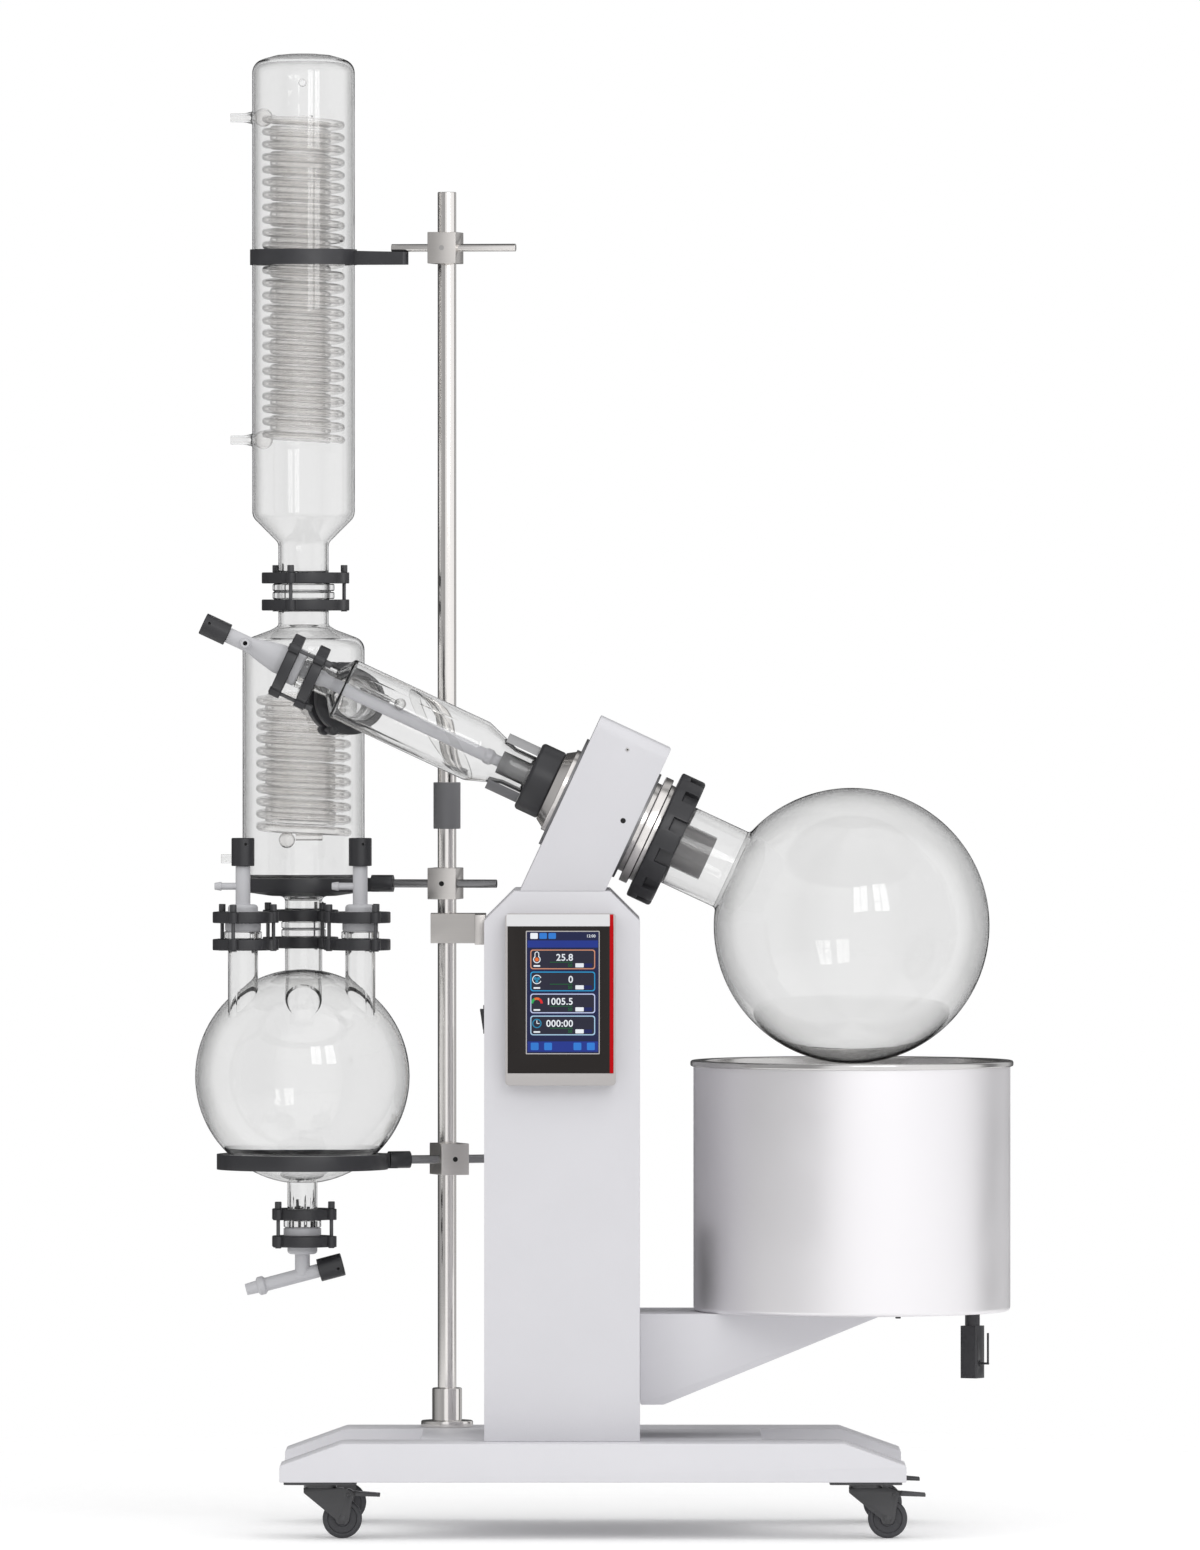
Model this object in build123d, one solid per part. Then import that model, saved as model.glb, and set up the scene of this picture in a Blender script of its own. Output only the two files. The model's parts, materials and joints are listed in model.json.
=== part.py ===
"""Bench rotary evaporator on a wheeled base, with a lifting bath, a tilted flask drive and tall condensers.

Millimetres. While the pieces are built, X runs to the right, Y runs away from the front and Z runs up from the
floor, with X = 0 near the column and Y = 0 midway between the two base legs. At export everything is moved so that
the origin is the centre of the footprint.
"""
from build123d import *
import os
from math import asin, atan2, cos, degrees, hypot, pi, radians, sin, sqrt, tan

# Fits
running = 0.05
clearance = 0.3
seat_gap = 0.2

# Base frame
leg_length = 794.0
leg_width = 114.0
leg_height = 49.1
leg_wall = 5.0
leg_slope_length = 79.0
leg_tip_height = 20.8
leg_centre_x = -9.0
base_depth = 510.0
base_underside = 73.2
base_top = base_underside + leg_height
bridge_left = -228.0
bridge_right = 207.0
bridge_wall = 6.0
bridge_bays = 3

# Casters
caster_reach_left = -355.0
caster_reach_right = 337.0
caster_y = 198.0
wheel_radius = 25.0
wheel_width = 20.0
wheel_trail = 28.0
wheel_hub_radius = 9.0
axle_radius = 4.0
caster_plate_length = 92.0
caster_plate_width = 84.0
caster_plate_thickness = 4.0
race_radius = 21.0
race_height = 5.0
king_pin_radius = 6.0
king_head_radius = 9.0
king_head_height = 2.5
fork_plate_thickness = 3.0
cheek_thickness = 2.5
cheek_gap = 1.0
pedal_pivot_x = 36.0
pedal_pivot_z = 56.0
pedal_reach = 76.0
pedal_thickness = 4.0
pedal_width = 30.0
pedal_pin_radius = 2.5
brake_gap = 0.4

# Column
column_left = -147.0
column_right = 50.7
column_front = -200.0
column_back = 120.0
column_top = 821.0
column_chamfer = 38.0
column_wall = 4.0
rear_cover_thickness = 2.0
power_hole_z = 656.5
power_hole_y = -120.0
power_hole_height = 31.0
power_hole_width = 20.0
rocker_reach = 6.0
rocker_depth = 4.0
vent_slots = 6
vent_height = 60.0
vent_pitch = 14.0
vent_width = 5.0
vent_margin = 50.0
cable_hole_radius = 12.0
rocker_pin_radius = 1.5

# Control panel
panel_left = -120.0
panel_right = 20.0
panel_bottom = 575.0
panel_top = 793.0
panel_depth = 25.0
panel_corner = 5.0
panel_header = 16.0
panel_footer = 15.6
bezel_thickness = 2.0
screen_left = -92.8
screen_width = 91.2
screen_bottom = 616.0
screen_height = 154.0
screen_thickness = 1.2

# Tilted drive head; lengths along the flask axis start at head_axis and run down towards the flask
head_tilt = 25.0
head_axis = (29.3, -40.0, 910.4)
head_left = -81.0
head_right = 17.0
head_top = 108.0
head_wall = 6.0
head_corner = 9.0
bearing_outer = 55.0
bearing_width = 16.0
bearing_left = -77.0
bearing_right = -3.0
boss_wall = 3.5
shaft_radius = 40.0
shaft_bore = 33.0
shaft_hole = 42.0
gear_module = 2.0
gear_teeth = 66
pinion_teeth = 22
gear_width = 10.0
gear_left = -24.0
gear_backlash = 0.6
pinion_drop = 30.0
motor_radius = 28.0
motor_shaft_radius = 5.0
left_plate_radius = 74.0
left_plate_thickness = 3.5
right_plate_radius = 72.5
right_plate_thickness = 4.0

# Flask side of the drive
drum_neck_radius = 61.0
drum_disc_radius = 72.5
drum_disc_left = 27.5
drum_disc_right = 38.5
drum_collar_radius = 66.0
drum_collar_right = 44.0
drum_spigot_radius = 62.0
drum_spigot_right = 60.0
nut_radius = 86.0
nut_left = 44.3
nut_right = 77.5
nut_notches = 12
nut_notch_width = 19.0
nut_notch_depth = 7.0
nut_notch_length = 19.5
nut_lip = 4.0

# Rotating glass
glass_wall = 3.0
flask_radius = 176.2
flask_centre = 322.4
flask_neck_radius = 52.8
flask_flange_radius = 60.0
flask_flange_thickness = 6.0
vapour_tube_radius = 29.6
vapour_tube_left = -113.0
vapour_tube_right = 119.5
vapour_flange_radius = 58.0
vapour_flange_thickness = 5.0

# Tee seat and nut on the left of the head
seat_base_radius = 56.0
seat_tip_radius = 46.0
seat_tip = -100.8
seat_spigot_radius = 40.0
seat_spigot_left = -118.0
seat_bore = 36.0
seal_left = -112.0
seal_right = -88.0
tee_nut_left = -133.2
tee_nut_radius = 45.7
tee_nut_corner = 6.0
guard_radius = 38.5
guard_wall = 2.0
guard_left = -177.0
guard_window = 36.0

# Vapour tee
tee_neck_radius = 25.0
tee_flange_radius = 38.0
tee_flange_thickness = 6.0
tee_radius = 40.6
tee_cone_start = -161.5
tee_body_right = -205.6
tee_body_left = -395.1
tee_small_cone = -409.6
port_distance = -364.0
port_radius = 32.0
port_joint = 80.0

# Glass joints and their ring clamps
small_neck = 19.25
small_flange = 24.25
small_ring = 39.0
small_bolt_circle = 40.0
centre_neck = 24.0
centre_flange = 28.7
centre_ring = 45.0
centre_bolt_circle = 46.0
large_neck = 32.5
large_flange = 40.0
large_ring = 54.0
large_bolt_circle = 53.6
clamp_gap = 9.7
clamp_height = 14.4
clamp_lug = 6.75
clamp_bore_gap = 0.4
clamp_chamfer = 1.5
gasket_thickness = 1.2
screw_radius = 1.8
screw_head_radius = 4.5
screw_head_height = 9.0
nut_height = 4.0

# Feed valve on the left end of the tee
feed_joint = -454.0
feed_bell_left = -529.0
feed_stem_radius = 10.0
feed_knob_right = -557.0
feed_knob_left = -592.0
feed_knob_radius = 14.2
feed_nozzle_radius = 5.7
feed_nozzle_bore = 2.95
feed_nozzle_length = 38.0
feed_nozzle_collar_radius = 7.6
feed_nozzle_collar_length = 12.5
feed_pipe_radius = 7.5
feed_pipe_bore = 5.0
feed_pipe_right = 160.0

# Condensers
condenser_x = -383.0
condenser_y = 205.0
upper_radius = 66.25
upper_top = 1895.5
dome_rise = 12.0
dome_rim_round = 18.0
dome_crown_round = 110.0
dome_crown_radius = 34.2
upper_shoulder = upper_top - dome_rise
upper_cone_top = 1298.0
upper_cone_bottom = 1264.0
upper_joint = 1201.4
upper_coil_radius = 49.0
upper_coil_tube = 5.0
upper_coil_pitch = 16.25
upper_coil_bottom = 1397.0
upper_coil_top = 1813.0
nozzle_radius = 5.6
nozzle_bore = 3.6
nozzle_reach = 94.0
nozzle_bulb = 12.0
top_port_drop = 39.5
top_port_height = upper_top - top_port_drop
top_port_radius = 5.0
top_port_reach = 84.0
lower_radius = 78.8
lower_neck_bottom = 1156.6
lower_shoulder = 1126.0
lower_corner = 822.0
lower_dome = 806.0
lower_coil_radius = 56.5
lower_coil_tube = 5.5
lower_coil_pitch = 16.3
lower_coil_bottom = 874.0
lower_coil_top = 1070.0
upper_return_radius = 33.0
upper_return_pitch = 11.0
lower_return_radius = 39.0
lower_return_pitch = 13.0
coil_facets = 10
coil_sides = 6
lower_nozzle_height = 856.0

# Receiver
receiver_x = -383.0
receiver_y = 112.0
receiver_z = 577.5
receiver_radius = 138.0
neck_circle = 93.0
neck_joint = 765.6
left_neck_angle = 216.0
right_neck_angle = 324.0
drain_neck_joint = 382.8

# Vent valves and drain valve
vent_stem_radius = 9.5
vent_flange_radius = 23.0
vent_bell_top = 812.0
vent_knob_bottom = 849.0
vent_knob_top = 885.0
knob_radius = 14.8
knob_flutes = 12
knob_flute_radius = 1.6
spindle_radius = 4.0
spindle_depth = 22.0
vent_nozzle_height = 823.0
vent_nozzle_reach = 36.6
vent_nozzle_radius = 4.5
vent_barb_radius = 5.85
vent_bore = 2.5
drain_tilt = 14.8
drain_cross = 322.0
drain_stem_radius = 9.6
drain_tube_radius = 8.8
drain_tube_reach = 75.0
drain_barb_radius = 12.0
drain_barb_start = 46.0
drain_barb_length = 14.0
drain_knob_start = 22.0
drain_knob_length = 32.0

# Support rod and its fittings
rod_x = -197.6
rod_y = 195.0
rod_radius = 12.0
rod_top = 1717.0
foot_radius = 33.5
foot_thickness = 8.7
foot_hub_radius = 19.2
foot_hub_top = 173.0
sleeve_radius = 17.5
sleeve_bottom = 895.0
sleeve_top = 955.0
bracket_bottom = 747.5
bracket_top = 786.0
bracket_block = 42.0
bracket_strip = 14.0
bracket_overlap = 40.0
cross_width = 37.0
cross_front = 37.0
cross_back = 17.0
cross_height = 40.5
cross_offset = 24.0
cross_slit = 2.5
cross_screw_radius = 4.0
cross_heights = (1644.5, 824.6, 469.0)
upper_bar_radius = 4.85
middle_bar_radius = 5.25
lower_bar_radius = 5.4
upper_bar_right = 95.0
middle_bar_right = 70.0
lower_bar_right = 62.0
band_wall = 2.5
band_bottom = 1623.0
band_top = 1643.0
band_boss_reach = 128.0
band_boss_radius = 9.0
middle_ring_radius = 84.0
middle_ring_bottom = 813.8
middle_ring_top = 831.5
middle_socket_reach = 112.0
lower_ring_radius = 110.2
lower_ring_bottom = 458.0
lower_ring_top = 477.5
lower_socket_reach = 138.0
socket_radius = 11.0

# Bath, its arm and the lift
bath_x = 321.9
bath_y = -40.0
bath_radius = 202.5
bath_bottom = 282.0
bath_rim_radius = 206.5
bath_rim_height = 7.7
bath_rim_top = 602.4
bath_skin = 2.5
bath_foot_round = 8.0
pot_radius = 190.0
pot_wall = 2.0
pot_floor = 300.0
heater_radius = 150.0
heater_inner = 60.0
heater_height = 8.0
arm_half_width = 100.0
arm_bottom = 166.5
arm_heel = 80.8
arm_tip = 354.0
arm_tip_thickness = 4.0
arm_wall = 8.0
arm_bays = 3
lift_travel = 120.0
plug_x = 381.0
plug_radius = 3.5
plug_drop = 10.0
neck_half_width = 48.0
neck_clearance = 2.0
carriage_left = -48.0
carriage_right = 8.0
carriage_half_width = 84.0
carriage_bottom = 172.0
carriage_top = 262.0
rail_x = -20.0
rail_spacing = 124.0
rail_radius = 8.0
lift_foot_thickness = 12.0
lift_foot_half = 84.0
lift_head_bottom = 500.0
lift_motor_radius = 30.0
lift_motor_height = 78.0
screw_thread_radius = 7.0
screw_journal_radius = 5.0
cock_x = 476.0
cock_side = 23.5
cock_turn = 29.0
cock_bottom = 196.0
cock_top = 275.0
cock_stub_radius = 9.5
cock_pivot = 215.0
cock_stem_radius = 4.0
cock_stem_reach = 6.0
cock_lever_top = 248.0
cock_lever_width = 12.0
cock_lever_thickness = 2.5

# Worked out from the sizes above
gear_pitch = gear_module * gear_teeth / 2
pinion_pitch = gear_module * pinion_teeth / 2
gear_distance = gear_pitch + pinion_pitch
pinion_side = sqrt(gear_distance**2 - pinion_drop**2)
boss_radius = bearing_outer + boss_wall
screen_right = screen_left + screen_width
screen_top = screen_bottom + screen_height
panel_front = column_front - panel_depth
rotary = Plane(
    origin=head_axis,
    x_dir=(sin(radians(head_tilt)), 0, cos(radians(head_tilt))),
    z_dir=(cos(radians(head_tilt)), 0, -sin(radians(head_tilt))),
).location
condenser = Pos(condenser_x, condenser_y, 0)
receiver = Pos(receiver_x, receiver_y, 0)
rod_place = Pos(rod_x, rod_y, 0)
bath = Pos(bath_x, bath_y, 0)
drive_place = rotary * Pos(-pinion_drop, -pinion_side, 0)
port_x = head_axis[0] + port_distance * cos(radians(head_tilt))
port_z = head_axis[2] - port_distance * sin(radians(head_tilt))
port_run = hypot(condenser_x - port_x, condenser_y - head_axis[1])
port_turn = degrees(atan2(condenser_y - head_axis[1], condenser_x - port_x))
port = Pos(port_x, head_axis[1], port_z) * Rot(0, 0, port_turn) * Rot(0, 90, 0)


def rod(radius, low, high):
    """Round bar on Z between two heights."""
    return Pos(0, 0, (low + high) / 2) * Cylinder(radius, high - low)


def tube(outer, inner, low, high):
    """Round tube on Z between two heights."""
    return rod(outer, low, high) - rod(inner, low - 1, high + 1)


def block(x_span, y_span, z_span):
    """Box between a pair of limits on each axis."""
    spans = (x_span, y_span, z_span)
    return Pos(*[sum(span) / 2 for span in spans]) * Box(*[span[1] - span[0] for span in spans])


def turned(*corners):
    """Ring or disc turned about Z from (radius, height) corners; a third number rounds a corner."""
    points = [(corner[0], 0, corner[1]) for corner in corners]
    rounds = [corner[2] if len(corner) > 2 else 0 for corner in corners]
    return revolve(make_face(FilletPolyline(*points, radius=rounds, close=True)), Axis.Z)


def prism(corners, near, far):
    """Outline of (x, z) corners carried along Y; a third number rounds a corner."""
    points = [(corner[0], near, corner[1]) for corner in corners]
    rounds = [corner[2] if len(corner) > 2 else 0 for corner in corners]
    return extrude(make_face(FilletPolyline(*points, radius=rounds, close=True)), far - near, dir=(0, 1, 0))


def together(*solids):
    """Several separate solids kept side by side in one node."""
    found = []
    for solid in solids:
        found += solid.solids()
    return Compound(found)


# Base and casters
def base_leg():
    """Front channel leg with sloping ends and closed pads over its casters."""
    left = leg_centre_x - leg_length / 2
    right = leg_centre_x + leg_length / 2
    tip = base_underside + leg_tip_height
    half = base_depth / 2
    outline = [
        (left, base_underside),
        (right, base_underside),
        (right, tip, 4),
        (right - leg_slope_length, base_top, 12),
        (left + leg_slope_length, base_top, 12),
        (left, tip, 4),
    ]
    inside = [
        (left + leg_wall, base_underside - 1),
        (right - leg_wall, base_underside - 1),
        (right - leg_wall, tip - leg_wall),
        (right - leg_slope_length - leg_wall / 3, base_top - leg_wall),
        (left + leg_slope_length + leg_wall / 3, base_top - leg_wall),
        (left + leg_wall, tip - leg_wall),
    ]
    leg = prism(outline, -half, -half + leg_width)
    leg -= prism(inside, -half + leg_wall, -half + leg_width - leg_wall)
    for x in (caster_reach_left, caster_reach_right):
        pad = block(
            (x - caster_plate_length / 2, x + caster_plate_length / 2),
            (-half + leg_wall / 2, -half + leg_width - leg_wall / 2),
            (base_underside, base_underside + leg_wall),
        )
        leg += pad
    return leg


def base_bridge():
    """Ribbed floor plate that joins the legs and carries the column."""
    half = base_depth / 2 - leg_width
    bridge = block((bridge_left, bridge_right), (-half, half), (base_underside, base_top))
    bay = (bridge_right - bridge_left - bridge_wall * (bridge_bays + 1)) / bridge_bays
    for index in range(bridge_bays):
        start = bridge_left + bridge_wall + index * (bay + bridge_wall)
        bridge -= block(
            (start, start + bay),
            (-half + bridge_wall, half - bridge_wall),
            (base_underside - 1, base_top - bridge_wall),
        )
    return bridge


def base_frame():
    """Two legs and the bridge between them."""
    leg = base_leg()
    return together(leg, Pos(0, base_depth - leg_width, 0) * leg, base_bridge())


def caster_plates():
    """Bolting plate, ball race and king pin of each caster."""
    top = base_underside
    race_top = top - caster_plate_thickness
    race_bottom = race_top - race_height
    fork_bottom = race_bottom - clearance - fork_plate_thickness
    half_length = caster_plate_length / 2
    half_width = caster_plate_width / 2
    plate = block((-half_length, half_length), (-half_width, half_width), (race_top, top))
    plate = fillet(plate.edges().filter_by(Axis.Z), 6)
    pin = rod(king_pin_radius, fork_bottom - clearance - king_head_height, race_bottom)
    head = rod(king_head_radius, fork_bottom - clearance - king_head_height, fork_bottom - clearance)
    mount = plate + rod(race_radius, race_bottom, race_top) + pin + head
    return together(*[place * mount for place in caster_places()])


def caster_places():
    """The four swivel axes, front pair first."""
    return [Pos(x, y, 0) for y in (-caster_y, caster_y) for x in (caster_reach_left, caster_reach_right)]


def caster_fork():
    """Fork and axle of one caster about its swivel axis, with the wheel trailing to the right."""
    top = base_underside - caster_plate_thickness - race_height - clearance
    inner = wheel_width / 2 + cheek_gap
    outer = inner + cheek_thickness
    hub = wheel_hub_radius
    outline = [
        (-race_radius, top, 3),
        (pedal_pivot_x - 4, top, 3),
        (pedal_pivot_x + 6, pedal_pivot_z + 2, 3),
        (wheel_trail + hub, wheel_radius, 0),
        (wheel_trail + hub * 0.7, wheel_radius - hub * 0.7, 3),
        (wheel_trail - hub * 0.7, wheel_radius - hub * 0.7, 3),
        (wheel_trail - hub, wheel_radius, 4),
        (-race_radius, top - fork_plate_thickness * 2, 2),
    ]
    cheeks = prism(outline, -outer, -inner) + prism(outline, inner, outer)
    plate = block((-race_radius, pedal_pivot_x - 6), (-outer, outer), (top - fork_plate_thickness, top))
    axle = Pos(wheel_trail, 0, wheel_radius) * Rot(90, 0, 0) * rod(axle_radius, -outer - 1.5, outer + 1.5)
    fork = cheeks + plate + axle
    fork -= rod(king_pin_radius + running, top - 2 * fork_plate_thickness, top + 1)
    pin = Rot(90, 0, 0) * rod(pedal_pin_radius + running, -outer - 1, outer + 1)
    return fork - Pos(pedal_pivot_x, 0, pedal_pivot_z) * pin


def caster_wheel():
    """Wheel with a rounded tread, bored for the axle."""
    half = wheel_width / 2
    wheel = turned(
        (axle_radius + running, -half),
        (wheel_hub_radius, -half),
        (wheel_hub_radius + 1, -half + 2.5),
        (wheel_radius - 7, -half + 2.5),
        (wheel_radius - 6, -half + 0.5),
        (wheel_radius, -half + 0.5, 4),
        (wheel_radius, half - 0.5, 4),
        (wheel_radius - 6, half - 0.5),
        (wheel_radius - 7, half - 2.5),
        (wheel_hub_radius + 1, half - 2.5),
        (wheel_hub_radius, half),
        (axle_radius + running, half),
    )
    return Pos(wheel_trail, 0, wheel_radius) * Rot(90, 0, 0) * wheel


def caster_pedal():
    """Brake pedal whose round cam stands just off the tread."""
    outer = wheel_width / 2 + cheek_gap + cheek_thickness
    half = wheel_width / 2
    reach = hypot(pedal_pivot_x - wheel_trail, pedal_pivot_z - wheel_radius)
    cam = reach - wheel_radius - brake_gap
    outline = [
        (pedal_pivot_x - 2, pedal_pivot_z),
        (pedal_pivot_x + 8, pedal_pivot_z - 2),
        (pedal_reach, pedal_pivot_z - 3, 1),
        (pedal_reach, pedal_pivot_z - 3 + pedal_thickness, 1),
        (pedal_pivot_x + 6, pedal_pivot_z + pedal_thickness, 2),
        (pedal_pivot_x - 2, pedal_pivot_z + pedal_thickness),
    ]
    wide = prism(outline, -pedal_width / 2, pedal_width / 2)
    wide &= block((pedal_pivot_x + 9, pedal_reach + 1), (-pedal_width, pedal_width), (0, base_underside))
    place = Pos(pedal_pivot_x, 0, pedal_pivot_z) * Rot(90, 0, 0)
    pedal = prism(outline, -half, half) + wide + place * rod(cam, -half, half)
    return pedal + place * rod(pedal_pin_radius, -outer, outer)


# Column and its panel
def column_outline(inset):
    """Upright outline of the column with chamfered shoulders, drawn a wall thickness inside the skin."""
    slant = column_chamfer - inset * (2 - sqrt(2))
    return [
        (column_left + inset, base_top),
        (column_right - inset, base_top),
        (column_right - inset, column_top - inset - slant, 4),
        (column_right - inset - slant, column_top - inset, 4),
        (column_left + inset + slant, column_top - inset, 4),
        (column_left + inset, column_top - inset - slant, 4),
    ]


def column_shell():
    """Folded sheet column, open at the back, with its lift slot, switch hole and cable hole."""
    back = column_back - rear_cover_thickness
    shell = prism(column_outline(0), column_front, back)
    shell -= prism(column_outline(column_wall), column_front + column_wall, back + 1)
    shell -= block(
        (column_right - 2 * column_wall, column_right + 1),
        (bath_y - neck_half_width - neck_clearance, bath_y + neck_half_width + neck_clearance),
        (carriage_bottom - neck_clearance, carriage_top + lift_travel + neck_clearance),
    )
    shell -= block(
        (column_left - 1, column_left + 2 * column_wall),
        (power_hole_y - power_hole_width / 2, power_hole_y + power_hole_width / 2),
        (power_hole_z - power_hole_height / 2, power_hole_z + power_hole_height / 2),
    )
    cable_place = Pos(column_left / 2, (column_back + head_axis[1]) / 2, column_top)
    return shell - cable_place * rod(cable_hole_radius, -2 * column_wall, column_wall)


def column_rear_cover():
    """Flat cover that closes the back of the column, with cooling slots low down."""
    cover = prism(column_outline(0), column_back - rear_cover_thickness, column_back)
    for index in range(vent_slots):
        low = base_top + vent_height + index * vent_pitch
        cover -= block(
            (column_left + vent_margin, column_right - vent_margin),
            (column_back - column_wall, column_back + column_wall),
            (low, low + vent_width),
        )
    return cover


def panel_case():
    """Control panel body on the column's front, hollowed behind for its board."""
    body = block((panel_left, panel_right), (panel_front, column_front), (panel_bottom, panel_top))
    body = fillet(body.edges().filter_by(Axis.Y), panel_corner)
    body -= block(
        (panel_left + panel_corner, panel_right - panel_corner),
        (panel_front + panel_corner, column_front + 1),
        (panel_bottom + panel_corner, panel_top - panel_corner),
    )
    return body - bezel_block(bezel_thickness)


def bezel_block(depth):
    """The dark front plate below the header and above the footer strip."""
    return block(
        (panel_left + 3, panel_right - 3),
        (panel_front - 1, panel_front + depth),
        (panel_bottom + panel_footer, panel_top - panel_header),
    )


def panel_bezel():
    """Dark glass front plate with the opening for the display."""
    plate = bezel_block(bezel_thickness) & block(
        (panel_left, panel_right), (panel_front, column_front), (panel_bottom, panel_top)
    )
    return plate - block(
        (screen_left, screen_right), (panel_front - 1, panel_front + screen_thickness), (screen_bottom, screen_top)
    )


def panel_display():
    """Touch screen set into the dark plate."""
    return block(
        (screen_left, screen_right), (panel_front, panel_front + screen_thickness), (screen_bottom, screen_top)
    )


def power_rocker():
    """Rocker of the mains switch, wider than it is deep, turning on a cross pin."""
    half_height = power_hole_height / 2 - 2.0
    half_width = power_hole_width / 2 - 1.0
    outline = [
        (column_left - 2, power_hole_z - half_height, 1),
        (column_left - rocker_reach, power_hole_z + half_height, 1),
        (column_left + rocker_depth, power_hole_z + half_height - 1, 1),
        (column_left + rocker_depth, power_hole_z - half_height + 1, 1),
    ]
    rocker = prism(outline, power_hole_y - half_width, power_hole_y + half_width)
    pin = Pos(column_left + 1, power_hole_y, power_hole_z) * Rot(90, 0, 0)
    reach = power_hole_width / 2 - seat_gap
    return rocker + pin * rod(rocker_pin_radius, -reach, reach)


# Head and drive
def head_housing():
    """Tilted gear housing that stands on the column, with a pocket for a bearing in each face."""
    half = (column_back - column_front) / 2
    low = -220.0
    body = block((low, head_top), (-half, half), (head_left, head_right))
    top_edges = body.edges().filter_by(Axis.Y).group_by(Axis.X)[-1]
    body = fillet(top_edges, head_corner)
    inner = block(
        (low - 1, head_top - head_wall),
        (-half + head_wall, half - head_wall),
        (head_left + head_wall, head_right - head_wall),
    )
    body -= fillet(inner.edges().filter_by(Axis.Y).group_by(Axis.X)[-1], head_corner / 2)
    body += rod(boss_radius, head_left + head_wall / 2, bearing_left + bearing_width)
    body += rod(boss_radius, bearing_right - 1, head_right - head_wall / 2)
    body -= rod(bearing_outer, bearing_left, bearing_left + bearing_width + 1)
    body -= rod(bearing_outer, bearing_right - 2, bearing_right + bearing_width)
    body -= rod(shaft_hole, head_left - 1, head_right + 1)
    reach = 2 * base_depth
    below = block((-reach, reach), (-reach, reach), (0, column_top))
    return rotary * body - below


def bearings():
    """Two ball bearings of the hollow shaft and the lip seal on the vapour tube."""
    left = tube(bearing_outer, shaft_radius + running, bearing_left, bearing_left + bearing_width)
    right = tube(bearing_outer, shaft_radius + running, bearing_right, bearing_right + bearing_width)
    seal = turned(
        (seat_bore, seal_left),
        (seat_bore, seal_right),
        (vapour_tube_radius + 2, seal_right),
        (vapour_tube_radius + running, seal_right - 6),
        (vapour_tube_radius + running, seal_left + 6),
        (vapour_tube_radius + 2, seal_left),
    )
    return rotary * together(left, right, seal)


def head_plates():
    """Thin round cover plates on the left and right faces of the head."""
    left = tube(left_plate_radius, shaft_hole, head_left - left_plate_thickness, head_left)
    right = tube(right_plate_radius, shaft_hole, head_right, head_right + right_plate_thickness)
    return rotary * together(left, right)


def gear(teeth, pitch_radius, bore, phase):
    """Spur gear with straight-sided teeth, thinned at the pitch circle for backlash."""
    tip = pitch_radius + gear_module * 0.85
    root = pitch_radius - gear_module * 1.15
    half_pitch = (pi * gear_module / 2 - gear_backlash) / 2
    half_tip = half_pitch - (tip - pitch_radius) * tan(radians(24))
    half_root = half_pitch + (pitch_radius - root) * tan(radians(16))
    points = []
    for tooth in range(teeth):
        middle = phase + 2 * pi * tooth / teeth
        for radius, offset in ((root, -half_root), (tip, -half_tip), (tip, half_tip), (root, half_root)):
            angle = middle + offset / radius
            points.append((radius * cos(angle), radius * sin(angle)))
    wheel = extrude(make_face(Polyline(*points, close=True)), gear_width)
    return Pos(0, 0, gear_left) * wheel - rod(bore, gear_left - 1, gear_left + gear_width + 1)


def driven_gear():
    """Large gear keyed to the hollow shaft."""
    mesh = atan2(-pinion_side, -pinion_drop)
    return rotary * gear(gear_teeth, gear_pitch, shaft_radius, mesh)


def motor_pinion():
    """Small gear and its shaft, in mesh with the large gear behind and below the shaft."""
    mesh = atan2(pinion_side, pinion_drop) + pi / pinion_teeth
    wheel = gear(pinion_teeth, pinion_pitch, 1.0, mesh)
    wheel += rod(motor_shaft_radius, gear_left - 14, gear_left + gear_width + 4)
    return drive_place * wheel


def drive_motor():
    """Motor and gearbox body on the left wall of the head, bored for the pinion shaft."""
    face = gear_left - 3
    body = rod(motor_radius, head_left + head_wall, face)
    body -= rod(motor_shaft_radius + running, face - 12, face + 1)
    return drive_place * body


def drive_shaft():
    """Hollow shaft with the drum that the flask is screwed to."""
    shaft = tube(shaft_radius, shaft_bore, bearing_left - 1, drum_disc_left)
    drum = turned(
        (shaft_bore, head_right + right_plate_thickness + clearance),
        (drum_neck_radius, head_right + right_plate_thickness + clearance),
        (drum_neck_radius, drum_disc_left),
        (drum_disc_radius, drum_disc_left, 1),
        (drum_disc_radius, drum_disc_right, 1),
        (drum_collar_radius, drum_disc_right),
        (drum_collar_radius, drum_collar_right),
        (drum_spigot_radius, drum_collar_right),
        (drum_spigot_radius, drum_spigot_right),
        (shaft_bore, drum_spigot_right),
    )
    return rotary * (shaft + drum)


def flask_nut():
    """Notched ring nut that draws the flask's flange onto the drum."""
    ring = turned(
        (drum_spigot_radius + running, nut_left),
        (nut_radius, nut_left, 2),
        (nut_radius, nut_right, 3),
        (flask_neck_radius + 1.5, nut_right, 1),
        (flask_neck_radius + 1.5, nut_right - nut_lip),
        (drum_spigot_radius + running, nut_right - nut_lip),
    )
    cut = block(
        (nut_radius - nut_notch_depth, nut_radius + 5),
        (-nut_notch_width / 2, nut_notch_width / 2),
        (nut_right - nut_notch_length, nut_right + 1),
    )
    ring -= [Rot(0, 0, index * 360 / nut_notches) * cut for index in range(nut_notches)]
    return rotary * ring


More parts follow.
